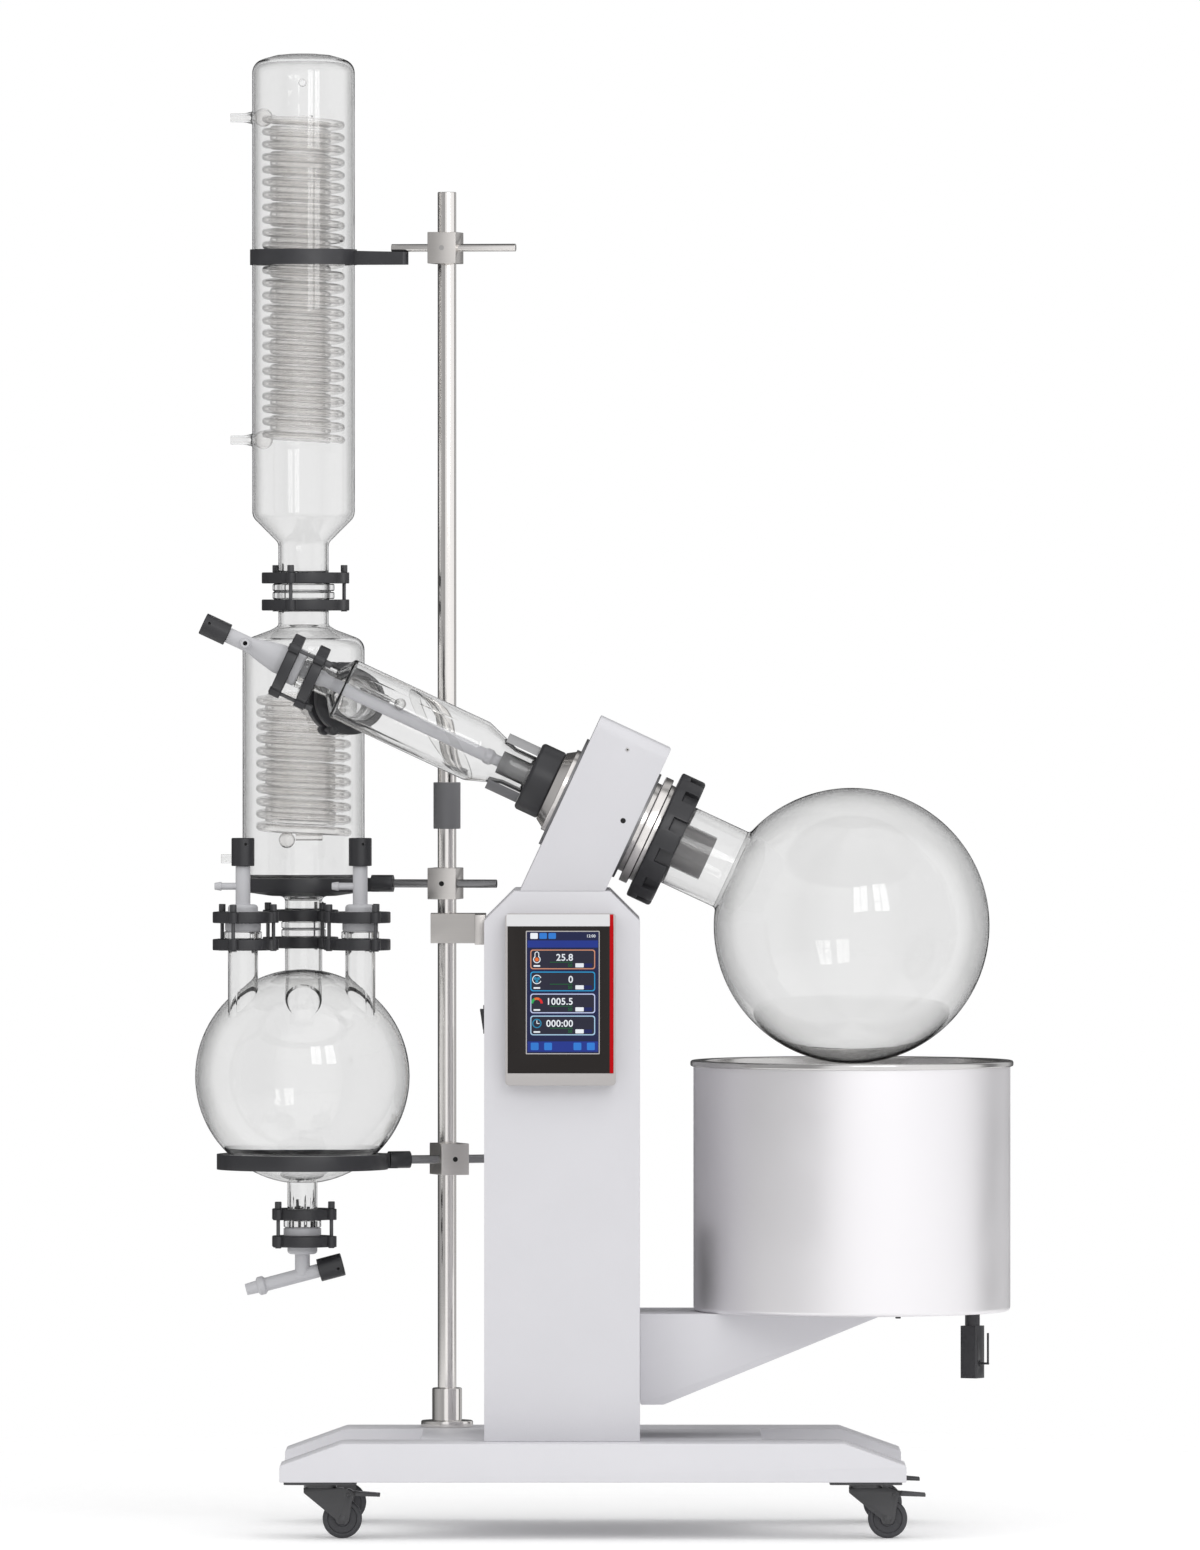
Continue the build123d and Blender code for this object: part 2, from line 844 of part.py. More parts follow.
# Rotating glass
def evaporating_flask():
    """Round flask with a short straight neck and a flange, blown hollow."""
    neck_left = drum_spigot_right + vapour_flange_thickness
    outer = Pos(0, 0, flask_centre) * Sphere(flask_radius)
    outer += rod(flask_neck_radius, neck_left, flask_centre)
    outer += rod(flask_flange_radius, neck_left, neck_left + flask_flange_thickness)
    hollow = Pos(0, 0, flask_centre) * Sphere(flask_radius - glass_wall)
    hollow += rod(flask_neck_radius - glass_wall, neck_left - 1, flask_centre)
    return rotary * (outer - hollow)


def vapour_tube():
    """Glass tube through the hollow shaft, clamped by its flange between drum and flask."""
    inner = vapour_tube_radius - glass_wall
    body = turned(
        (inner, vapour_tube_left),
        (vapour_tube_radius, vapour_tube_left),
        (vapour_tube_radius, drum_spigot_right),
        (vapour_flange_radius, drum_spigot_right),
        (vapour_flange_radius, drum_spigot_right + vapour_flange_thickness),
        (vapour_tube_radius, drum_spigot_right + vapour_flange_thickness),
        (vapour_tube_radius, vapour_tube_right),
        (inner, vapour_tube_right),
    )
    return rotary * body


# Fixed glass on the head
def tee_seat():
    """Polished cone that carries the tee, bored for the seal."""
    body = turned(
        (seat_bore, seat_spigot_left),
        (seat_spigot_radius, seat_spigot_left),
        (seat_spigot_radius, seat_tip),
        (seat_tip_radius, seat_tip),
        (seat_base_radius, head_left - left_plate_thickness),
        (seat_bore, head_left - left_plate_thickness),
    )
    return rotary * body


def tee_nut():
    """Ring nut that draws the tee's flange onto its seat, with a guard above and below the glass neck."""
    flange_left = seat_spigot_left - tee_flange_thickness
    guard = tube(guard_radius, guard_radius - guard_wall, guard_left, tee_nut_left + guard_wall)
    guard -= block(
        (-guard_window / 2, guard_window / 2), (-tee_nut_radius, tee_nut_radius), (guard_left - 1, tee_nut_left)
    )
    body = turned(
        (tee_neck_radius + clamp_bore_gap, tee_nut_left),
        (tee_nut_radius, tee_nut_left, tee_nut_corner),
        (tee_nut_radius, seat_tip, tee_nut_corner / 2),
        (seat_spigot_radius + running, seat_tip),
        (seat_spigot_radius + running, flange_left - seat_gap),
        (tee_neck_radius + clamp_bore_gap, flange_left - seat_gap),
    )
    return rotary * (body + guard)


def tee_outline(inset):
    """Half outline of the tee's body and its two necks along the flask axis."""
    joint = feed_joint + gasket_thickness / 2
    return [
        (small_neck - inset, joint),
        (small_neck - inset, tee_small_cone, 4),
        (tee_radius - inset, tee_body_left, 10),
        (tee_radius - inset, tee_body_right, 12),
        (tee_neck_radius - inset, tee_cone_start, 12),
        (tee_neck_radius - inset, seat_spigot_left),
    ]


def vapour_tee():
    """Blown tee that joins the turning tube, the feed valve and the condenser."""
    joint = feed_joint + gasket_thickness / 2
    outer = turned(*tee_outline(0), (0, seat_spigot_left), (0, joint))
    outer += rod(small_flange, joint, joint + clamp_gap)
    outer += rod(tee_flange_radius, seat_spigot_left - tee_flange_thickness, seat_spigot_left)
    inner = turned(*tee_outline(glass_wall), (0, seat_spigot_left), (0, joint))
    inner += rod(small_neck - glass_wall, joint - 1, joint + 20)
    inner += rod(tee_neck_radius - glass_wall, seat_spigot_left - 20, seat_spigot_left + 1)
    outer = rotary * outer + port * rod(port_radius, 0, port_joint - gasket_thickness / 2)
    outer += port * rod(large_flange, port_joint - clamp_gap, port_joint - gasket_thickness / 2)
    inner = rotary * inner + port * rod(port_radius - glass_wall, 0, port_joint + 1)
    return outer - inner


def feed_valve():
    """Feed valve body with its hose nozzle, and the feed pipe that runs down the axis into the flask."""
    face = feed_joint - gasket_thickness / 2
    body = turned(
        (0, feed_knob_right + clearance),
        (feed_stem_radius, feed_knob_right + clearance),
        (feed_stem_radius, feed_bell_left, 4),
        (small_neck, face - clamp_gap - clamp_height - 6, 5),
        (small_neck, face - clamp_gap),
        (small_flange, face - clamp_gap),
        (small_flange, face),
        (feed_pipe_radius, face),
        (feed_pipe_radius, feed_pipe_right),
        (0, feed_pipe_right),
    )
    nozzle = Pos(0, 0, feed_bell_left - feed_nozzle_radius / 2) * Rot(-90, 0, 0)
    body += nozzle * rod(feed_nozzle_radius, feed_stem_radius / 2, feed_nozzle_length)
    body += nozzle * rod(feed_nozzle_collar_radius, feed_stem_radius / 2, feed_nozzle_collar_length)
    body -= rod(feed_pipe_bore, feed_bell_left, feed_pipe_right + 1)
    body -= rod(spindle_radius + running, feed_knob_right - 1, feed_knob_right + spindle_depth + 1)
    body -= nozzle * rod(feed_nozzle_bore, feed_stem_radius / 2, feed_nozzle_length + 1)
    return rotary * body


def fluted_knob(radius, length):
    """Knob with a rounded rim, finger flutes and a spindle below it, standing on Z = 0."""
    body = turned(
        (0, -spindle_depth),
        (spindle_radius, -spindle_depth),
        (spindle_radius, 0),
        (radius, 0, 1),
        (radius, length, 2.5),
        (0, length),
    )
    flute = Pos(radius + 0.6, 0, 0) * rod(knob_flute_radius, 4, length + 1)
    return body - [Rot(0, 0, index * 360 / knob_flutes) * flute for index in range(knob_flutes)]


def feed_knob():
    """Knob of the feed valve."""
    knob = fluted_knob(feed_knob_radius, feed_knob_right - feed_knob_left)
    return rotary * Pos(0, 0, feed_knob_right) * Rot(180, 0, 0) * knob


# Condensers
def upper_condenser():
    """Tall jacket with a domed top, a coned foot, two coolant nozzles and a small port at the front."""
    joint = upper_joint + gasket_thickness / 2
    outer = turned(
        (0, joint),
        (large_neck, joint),
        (large_neck, upper_cone_bottom, 6),
        (upper_radius, upper_cone_top, 14),
        (upper_radius, upper_shoulder, dome_rim_round),
        (dome_crown_radius, upper_top, dome_crown_round),
        (0, upper_top),
    )
    outer += rod(large_flange, joint, joint + clamp_gap)
    inner = turned(
        (0, joint - 1),
        (large_neck - glass_wall, joint - 1),
        (large_neck - glass_wall, upper_cone_bottom + glass_wall / 2, 6),
        (upper_radius - glass_wall, upper_cone_top + glass_wall / 2, 12),
        (upper_radius - glass_wall, upper_shoulder - glass_wall, dome_rim_round - glass_wall),
        (dome_crown_radius - glass_wall / 2, upper_top - glass_wall, dome_crown_round - glass_wall),
        (0, upper_top - glass_wall),
    )
    for height in (upper_coil_bottom, upper_coil_top):
        nozzle = Pos(0, 0, height) * Rot(0, -90, 0)
        outer += nozzle * rod(nozzle_radius, upper_radius - glass_wall / 2, nozzle_reach)
        bulb = Pos(-upper_radius, 0, height) * Sphere(nozzle_bulb)
        outer += bulb - rod(upper_radius - glass_wall / 2, 0, upper_top)
        inner += nozzle * rod(nozzle_bore, upper_radius - 10, nozzle_reach + 1)
    port_place = Pos(0, 0, top_port_height) * Rot(90, 0, 0)
    outer += port_place * rod(top_port_radius, upper_radius - 8, top_port_reach)
    inner += port_place * rod(top_port_radius - 1.5, upper_radius - 20, top_port_reach + 1)
    return condenser * (outer - inner)


def lower_condenser():
    """Wide jacket with a side neck for the vapour, a neck above and a drain neck below."""
    joint = upper_joint - gasket_thickness / 2
    foot = neck_joint + gasket_thickness / 2
    outer = turned(
        (0, foot),
        (centre_neck, foot),
        (centre_neck, lower_dome, 5),
        (lower_radius, lower_corner, 18),
        (lower_radius, lower_shoulder, 20),
        (large_neck, lower_neck_bottom, 10),
        (large_neck, joint),
        (0, joint),
    )
    outer += rod(large_flange, joint - clamp_gap, joint)
    outer += rod(centre_flange, foot, foot + clamp_gap)
    inner = turned(
        (0, foot - 1),
        (centre_neck - glass_wall, foot - 1),
        (centre_neck - glass_wall, lower_dome + glass_wall, 5),
        (lower_radius - glass_wall, lower_corner + glass_wall, 15),
        (lower_radius - glass_wall, lower_shoulder - glass_wall / 2, 17),
        (large_neck - glass_wall, lower_neck_bottom - glass_wall / 2, 10),
        (large_neck - glass_wall, joint + 1),
        (0, joint + 1),
    )
    side = Pos(port_x - condenser_x, head_axis[1] - condenser_y, port_z) * Rot(0, 0, port_turn) * Rot(0, 90, 0)
    side_face = port_joint + gasket_thickness / 2
    outer += side * rod(port_radius, side_face, port_run)
    outer += side * rod(large_flange, side_face, side_face + clamp_gap)
    inner += side * rod(port_radius - glass_wall, side_face - 1, port_run)
    nozzle = Pos(0, 0, lower_nozzle_height) * Rot(0, -90, 0)
    outer += nozzle * rod(nozzle_radius, lower_radius - glass_wall / 2, nozzle_reach + lower_radius - upper_radius)
    inner += nozzle * rod(nozzle_bore, lower_radius - 10, nozzle_reach + lower_radius - upper_radius + 1)
    return condenser * (outer - inner)


def coil(radius, return_radius, wire, pitch, return_pitch, low, high, outlet):
    """Cooling coil as one faceted tube, down an inner helix and up an outer one, with a leg to its nozzle."""
    rise = int(coil_facets * (high - low) / pitch)
    fall = int(coil_facets * (high - low) / return_pitch)
    sections = []
    for step in range(-coil_facets - fall, rise + 1):
        outward = min(1, max(0, 1 + step / coil_facets))
        reach = return_radius + (radius - return_radius) * outward
        height = low + (high - low) * max(0, step / rise, -(step + coil_facets) / fall)
        place = Pos(0, 0, height) * Rot(0, 0, 180 + 360 * step / coil_facets) * Pos(reach, 0, 0) * Rot(90, 0, 0)
        sections.append(place * RegularPolygon(wire, coil_sides))
    helix = loft(sections, ruled=True, clean=False)
    leg = Pos(0, 0, low) * Rot(0, -90, 0) * rod(wire * 0.7, radius + wire, outlet)
    return together(helix, leg)


def upper_coil():
    """Coil of the upper condenser."""
    return condenser * coil(
        upper_coil_radius, upper_return_radius, upper_coil_tube, upper_coil_pitch, upper_return_pitch,
        upper_coil_bottom, upper_coil_top, upper_radius - glass_wall - clearance,
    )


def lower_coil():
    """Coil of the lower condenser."""
    return condenser * coil(
        lower_coil_radius, lower_return_radius, lower_coil_tube, lower_coil_pitch, lower_return_pitch,
        lower_coil_bottom, lower_coil_top, lower_radius - glass_wall - clearance,
    )


# Receiver
def neck_places():
    """Centre, left and right neck axes with their neck and flange radii."""
    return [
        (Pos(0, neck_circle, 0), centre_neck, centre_flange),
        (Rot(0, 0, left_neck_angle) * Pos(neck_circle, 0, 0), small_neck, small_flange),
        (Rot(0, 0, right_neck_angle) * Pos(neck_circle, 0, 0), small_neck, small_flange),
    ]


def receiver_flask():
    """Round receiver with three upright necks and a drain neck below."""
    joint = neck_joint - gasket_thickness / 2
    drain = drain_neck_joint + gasket_thickness / 2
    outer = Pos(0, 0, receiver_z) * Sphere(receiver_radius)
    inner = Pos(0, 0, receiver_z) * Sphere(receiver_radius - glass_wall)
    for place, neck, flange in neck_places():
        outer += place * rod(neck, receiver_z, joint)
        outer += place * rod(flange, joint - clamp_gap, joint)
        inner += place * rod(neck - glass_wall, receiver_z, joint + 1)
    outer += rod(small_neck, drain, receiver_z) + rod(small_flange, drain, drain + clamp_gap)
    inner += rod(small_neck - glass_wall, drain - 1, receiver_z)
    return receiver * (outer - inner)


def vent_valve():
    """Vent valve standing on a side neck, with its hose nozzle to the left."""
    face = neck_joint + gasket_thickness / 2
    body = turned(
        (0, face),
        (vent_flange_radius, face),
        (vent_flange_radius, face + clamp_gap),
        (small_neck, face + clamp_gap),
        (small_neck, face + clamp_gap + clamp_height + 4, 5),
        (vent_stem_radius, vent_bell_top, 4),
        (vent_stem_radius, vent_knob_bottom - clearance),
        (0, vent_knob_bottom - clearance),
    )
    nozzle = Pos(0, 0, vent_nozzle_height) * Rot(0, -90, 0)
    barb = turned((0, 0), (vent_barb_radius, 0), (vent_nozzle_radius, 9), (0, 9))
    body += nozzle * rod(vent_nozzle_radius, 0, vent_nozzle_reach) + nozzle * Pos(0, 0, vent_nozzle_reach - 9) * barb
    body -= nozzle * rod(vent_bore, 0, vent_nozzle_reach + 1)
    body -= rod(spindle_radius + running, vent_knob_bottom - spindle_depth - 1, vent_knob_bottom)
    return body - rod(vent_bore, face - 1, vent_nozzle_height)


def vent_valves():
    """The two vent valves on the receiver's side necks."""
    left, right = [place for place, _, _ in neck_places()[1:]]
    turn_left = Rot(0, 0, -left_neck_angle)
    turn_right = Rot(0, 0, -right_neck_angle)
    return receiver * together(left * turn_left * vent_valve(), right * turn_right * vent_valve())


def vent_knob(angle):
    """Knob of one vent valve."""
    place = receiver * Rot(0, 0, angle) * Pos(neck_circle, 0, vent_knob_bottom)
    return place * fluted_knob(knob_radius, vent_knob_top - vent_knob_bottom)


def drain_axis():
    """Axis of the inclined drain tube, rising to the right."""
    return receiver * Pos(0, 0, drain_cross) * Rot(0, 90 - drain_tilt, 0)


def drain_valve():
    """Drain valve below the receiver: upright stem, inclined body and hose barb."""
    face = drain_neck_joint - gasket_thickness / 2
    stem = turned(
        (0, face),
        (small_flange, face),
        (small_flange, face - clamp_gap),
        (small_neck, face - clamp_gap),
        (small_neck, face - clamp_gap - clamp_height - 4, 6),
        (drain_stem_radius, face - clamp_gap - clamp_height - 22, 4),
        (drain_stem_radius, drain_cross),
        (0, drain_cross),
    )
    barb = turned(
        (0, -drain_barb_start - drain_barb_length),
        (drain_tube_radius, -drain_barb_start - drain_barb_length),
        (drain_barb_radius, -drain_barb_start),
        (0, -drain_barb_start),
    )
    tube_body = rod(drain_tube_radius, -drain_tube_reach, drain_knob_start - clearance) + barb
    bore = rod(vent_bore * 1.6, -drain_tube_reach - 1, 0)
    bore += rod(spindle_radius + running, drain_knob_start - spindle_depth - 1, drain_knob_start)
    body = receiver * stem + drain_axis() * tube_body
    return body - drain_axis() * bore - receiver * rod(vent_bore, drain_cross, face + 1)


def drain_knob():
    """Knob of the drain valve."""
    return drain_axis() * Pos(0, 0, drain_knob_start) * fluted_knob(knob_radius, drain_knob_length)


# Ring clamps
def clamp_ring(ring, bolt_circle, bore):
    """Split-free clamp ring with three bored lugs, standing on Z = 0."""
    body = rod(ring, 0, clamp_height)
    body = chamfer(body.edges().filter_by(GeomType.CIRCLE), clamp_chamfer)
    lug_places = [Rot(0, 0, index * 120) * Pos(bolt_circle, 0, 0) for index in range(3)]
    body += [place * rod(clamp_lug, 0, clamp_height) for place in lug_places]
    holes = [place * rod(screw_radius + seat_gap, -1, clamp_height + 1) for place in lug_places]
    return body - [*holes, rod(bore, -1, clamp_height + 1)]


def joints():
    """Place, lug angle and sizes of each clamped glass joint: Z runs along the joint's axis, 0 is its plane."""
    small = (small_ring, small_bolt_circle, small_neck)
    centre = (centre_ring, centre_bolt_circle, centre_neck)
    large = (large_ring, large_bolt_circle, large_neck)
    left, right = [receiver * place for place, _, _ in neck_places()[1:]]
    return [
        (condenser * Pos(0, 0, upper_joint), 13, large),
        (condenser * Pos(0, 0, neck_joint), 63, centre),
        (left * Pos(0, 0, neck_joint), 13 - left_neck_angle, small),
        (right * Pos(0, 0, neck_joint), 60 - right_neck_angle, small),
        (receiver * Pos(0, 0, drain_neck_joint), 100, small),
        (rotary * Pos(0, 0, feed_joint), 59, small),
        (port * Pos(0, 0, port_joint), 30, large),
    ]


def joint_clamps():
    """Both rings of every joint and the gasket between its flanges."""
    pieces = []
    edge = clamp_gap + gasket_thickness / 2
    rings = {}
    for place, turn, (ring, bolt_circle, neck) in joints():
        if ring not in rings:
            rings[ring] = clamp_ring(ring, bolt_circle, neck + clamp_bore_gap)
        half = rings[ring]
        pieces.append(place * Rot(0, 0, turn) * Pos(0, 0, edge) * half)
        pieces.append(place * Rot(0, 0, turn) * Pos(0, 0, -edge - clamp_height) * half)
        pieces.append(place * tube(neck + 3, neck - glass_wall, -gasket_thickness / 2, gasket_thickness / 2))
    return together(*pieces)


def clamp_screw():
    """One screw with a round head above the rings and a hexagon nut below them, on the joint's plane."""
    edge = clamp_gap + gasket_thickness / 2 + clamp_height
    shank = Pos(0, 0, -edge - nut_height - 1) * extrude(RegularPolygon(screw_radius, 8), 2 * edge + nut_height + 3)
    head = Pos(0, 0, edge) * extrude(RegularPolygon(screw_head_radius, 8), screw_head_height)
    nut = Pos(0, 0, -edge - nut_height) * extrude(RegularPolygon(screw_head_radius * 0.9, 6), nut_height)
    return shank + head + nut


def clamp_screws():
    """Three screws at every joint."""
    screw = clamp_screw()
    pieces = []
    for place, turn, (_, bolt_circle, _) in joints():
        for index in range(3):
            pieces.append(place * Rot(0, 0, turn + index * 120) * Pos(bolt_circle, 0, 0) * screw)
    return together(*pieces)


# Support rod and holders
def support_rod():
    """Tall polished rod that carries the glass."""
    return rod_place * rod(rod_radius, base_top, rod_top)


def rod_fittings():
    """Foot of the rod, its dark sleeve and the bracket that ties it to the column."""
    foot = turned(
        (rod_radius, base_top),
        (foot_radius, base_top),
        (foot_radius, base_top + foot_thickness, 2),
        (foot_hub_radius, base_top + foot_thickness),
        (foot_hub_radius, foot_hub_top, 2),
        (rod_radius, foot_hub_top),
    )
    sleeve = tube(sleeve_radius, rod_radius, sleeve_bottom, sleeve_top)
    half = bracket_block / 2
    reach = column_left - rod_x
    arm = block((-half, reach), (-half, half), (bracket_bottom, bracket_top))
    strip_front = column_back - bracket_overlap - rod_y
    arm += block((reach - bracket_strip, reach), (strip_front, half), (bracket_bottom, bracket_top))
    arm -= rod(rod_radius, bracket_bottom - 1, bracket_top + 1)
    return rod_place * together(foot, sleeve, arm)


def bar_frame(target_x, target_y, height):
    """Frame of one cross bar: X runs along the bar away from the target, and 0 is beside the rod."""
    run_x = rod_x - target_x
    run_y = rod_y - target_y
    turn = degrees(atan2(run_y, run_x)) - degrees(asin(cross_offset / hypot(run_x, run_y)))
    return rod_place * Pos(0, 0, height) * Rot(0, 0, turn)


def bar_frames():
    """The three bars from top to bottom, with their radii, reaches to the right and runs to their targets."""
    upper, middle, lower = cross_heights
    near = sqrt((rod_x - condenser_x) ** 2 + (rod_y - condenser_y) ** 2 - cross_offset**2)
    far = sqrt((rod_x - receiver_x) ** 2 + (rod_y - receiver_y) ** 2 - cross_offset**2)
    return [
        (bar_frame(condenser_x, condenser_y, upper), upper_bar_radius, upper_bar_right, near),
        (bar_frame(condenser_x, condenser_y, middle), middle_bar_radius, middle_bar_right, near),
        (bar_frame(receiver_x, receiver_y, lower), lower_bar_radius, lower_bar_right, far),
    ]


def cross_clamps():
    """Three slit blocks that hold a bar across the front of the rod."""
    pieces = []
    for frame, bar_radius, _, _ in bar_frames():
        half_width = cross_width / 2
        half_height = cross_height / 2
        body = block((-half_width, half_width), (-cross_front, cross_back), (-half_height, half_height))
        body = chamfer(body.edges(), 1.5)
        body -= rod(rod_radius, -half_height - 1, half_height + 1)
        body -= block((-cross_slit / 2, cross_slit / 2), (0, cross_back + 1), (-half_height - 1, half_height + 1))
        body -= Pos(0, -cross_offset, 0) * Rot(0, 90, 0) * rod(bar_radius, -cross_width, cross_width)
        body -= Pos(0, -cross_front, 0) * Rot(90, 0, 0) * rod(cross_screw_radius, -8, 1)
        pieces.append(frame * body)
    return together(*pieces)


def held_ring(index, inner, outer, low, high, socket_reach, socket):
    """Ring with an arm and a socket on its bar, and the bar itself."""
    frame, bar_radius, right, run = bar_frames()[index]
    bar_line = frame * Pos(0, -cross_offset, 0)
    centre = bar_line * Pos(-run, 0, -cross_heights[index])
    end = run - socket_reach
    bar = bar_line * Rot(0, 90, 0) * rod(bar_radius, -end, right)
    ring = rod(outer, low, high)
    arm = block((0, socket_reach - socket), (-socket / 2, socket / 2), (low, high))
    ring += arm
    boss = Pos(0, 0, cross_heights[index]) * Rot(0, 90, 0) * rod(socket, socket_reach - 2 * socket, socket_reach + 6)
    ring += boss
    ring -= rod(inner, low - 40, high + 40)
    ring -= Pos(0, 0, cross_heights[index]) * Rot(0, 90, 0) * rod(bar_radius, socket_reach, socket_reach + 7)
    return together(centre * ring, bar)


def condenser_holder():
    """Band round the upper condenser on its bar."""
    outer = upper_radius + clearance + band_wall
    return held_ring(0, upper_radius + clearance, outer, band_bottom, band_top, band_boss_reach, band_boss_radius)


def middle_support_ring():
    """Ring under the lower condenser on its bar."""
    return held_ring(
        1, lower_radius + clearance, middle_ring_radius, middle_ring_bottom, middle_ring_top,
        middle_socket_reach, socket_radius,
    )


def lower_support_ring():
    """Ring under the receiver on its bar, dished to the flask."""
    seat_height = (receiver_z - lower_ring_top) ** 2
    inner = sqrt((receiver_radius + clearance) ** 2 - seat_height)
    return held_ring(
        2, inner, lower_ring_radius, lower_ring_bottom, lower_ring_top, lower_socket_reach, socket_radius
    )


# Bath and lift
def bath_jacket():
    """Outer skin of the bath with a rounded foot and a small plug below."""
    top = bath_rim_top - bath_rim_height
    skin = turned(
        (0, bath_bottom),
        (bath_radius, bath_bottom, bath_foot_round),
        (bath_radius, top),
        (bath_radius - bath_skin, top),
        (bath_radius - bath_skin, bath_bottom + bath_skin, bath_foot_round - bath_skin),
        (0, bath_bottom + bath_skin),
    )
    skin += Pos(plug_x - bath_x, 0, 0) * rod(plug_radius, bath_bottom - plug_drop, bath_bottom + bath_skin / 2)
    drain_hole = Pos(cock_x - bath_x, 0, 0) * rod(cock_stub_radius, bath_bottom - 1, bath_bottom + 10)
    return bath * (skin - drain_hole)


def bath_pot():
    """Deep drawn pot with a folded rim, and the heating ring under its floor."""
    top = bath_rim_top
    pot = turned(
        (0, pot_floor),
        (pot_radius + pot_wall, pot_floor, 14),
        (pot_radius + pot_wall, top - bath_rim_height),
        (bath_rim_radius, top - bath_rim_height, 2),
        (bath_rim_radius, top, 3),
        (pot_radius, top, 2),
        (pot_radius, pot_floor + pot_wall, 12),
        (0, pot_floor + pot_wall),
    )
    heater = tube(heater_radius, heater_inner, pot_floor - heater_height, pot_floor)
    return bath * together(pot, heater)


def bath_arm():
    """Ribbed arm under the bath, its neck through the column's slot and the carriage on the rails."""
    wall = column_right + clearance
    top = bath_bottom
    outline = [
        (wall, arm_bottom, 3),
        (arm_heel, arm_bottom, 6),
        (arm_tip, top - arm_tip_thickness, 2),
        (arm_tip, top),
        (wall, top),
    ]
    arm = prism(outline, bath_y - arm_half_width, bath_y + arm_half_width)
    bay = (arm_tip - wall - arm_wall * (arm_bays + 1)) / arm_bays
    for index in range(arm_bays):
        start = wall + arm_wall + index * (bay + arm_wall)
        arm -= block(
            (start, start + bay),
            (bath_y - arm_half_width + arm_wall, bath_y + arm_half_width - arm_wall),
            (arm_bottom - 1, top - arm_wall),
        )
    arm += block(
        (carriage_right - 1, wall + 1),
        (bath_y - neck_half_width, bath_y + neck_half_width),
        (carriage_bottom, carriage_top),
    )
    arm += block(
        (carriage_left, carriage_right),
        (bath_y - carriage_half_width, bath_y + carriage_half_width),
        (carriage_bottom, carriage_top),
    )
    for place in rail_places():
        arm -= place * rod(rail_radius + running, carriage_bottom - 1, carriage_top + 1)
    return arm - Pos(rail_x, bath_y, 0) * rod(screw_thread_radius + running, carriage_bottom - 1, carriage_top + 1)


def rail_places():
    """Axes of the two guide rails."""
    return [Pos(rail_x, bath_y + side * rail_spacing / 2, 0) for side in (-1, 1)]


def lift_frame():
    """Guide rails between a foot and a head plate, with the lift motor on top."""
    foot_top = base_top + lift_foot_thickness
    head_plate_top = lift_head_bottom + lift_foot_thickness
    frame = block(
        (carriage_left, carriage_right), (bath_y - lift_foot_half, bath_y + lift_foot_half), (base_top, foot_top)
    )
    frame += block(
        (carriage_left, carriage_right),
        (bath_y - lift_foot_half, bath_y + lift_foot_half),
        (lift_head_bottom, head_plate_top),
    )
    for place in rail_places():
        frame += place * rod(rail_radius, base_top, head_plate_top)
    motor = rod(lift_motor_radius, head_plate_top, head_plate_top + lift_motor_height)
    frame += Pos(rail_x, bath_y, 0) * motor
    journal = rod(screw_journal_radius + running, base_top + 3, head_plate_top + 20)
    return frame - Pos(rail_x, bath_y, 0) * journal


def lead_screw():
    """Lift screw on its two journals."""
    low = base_top + lift_foot_thickness + clearance
    high = lift_head_bottom - clearance
    screw = rod(screw_thread_radius, low, high) + rod(screw_journal_radius, base_top + 4, high + lift_foot_thickness + 8)
    return Pos(rail_x, bath_y, 0) * screw


def cock_frame():
    """Axis of the bath's drain cock, turned so that its lever faces front right."""
    return Pos(cock_x, bath_y, 0) * Rot(0, 0, -cock_turn)


def bath_drain_cock():
    """Square drain cock under the bath with its stub pipe."""
    half = cock_side / 2
    body = block((-half, half), (-half, half), (cock_bottom, cock_top - 12))
    body = chamfer(body.edges().filter_by(Axis.Z), 1.5)
    body += rod(cock_stub_radius, cock_top - 13, bath_bottom + bath_skin)
    body -= rod(cock_stub_radius - 3, cock_bottom - 1, cock_bottom + 25)
    body -= Pos(0, 0, cock_pivot) * Rot(0, 90, 0) * rod(cock_stem_radius + running, half - 6, half + 1)
    return cock_frame() * body


def drain_lever():
    """Flat lever on the side of the cock, with its stem."""
    start = cock_side / 2 + cock_stem_reach - cock_lever_thickness
    half = cock_lever_width / 2
    plate = block((start, start + cock_lever_thickness), (-half, half), (cock_pivot - half, cock_lever_top))
    plate = fillet(plate.edges().filter_by(Axis.X), half * 0.8)
    stem = Pos(0, 0, cock_pivot) * Rot(0, 90, 0) * rod(cock_stem_radius, cock_side / 2 - 5, start + 1)
    return cock_frame() * (plate + stem)


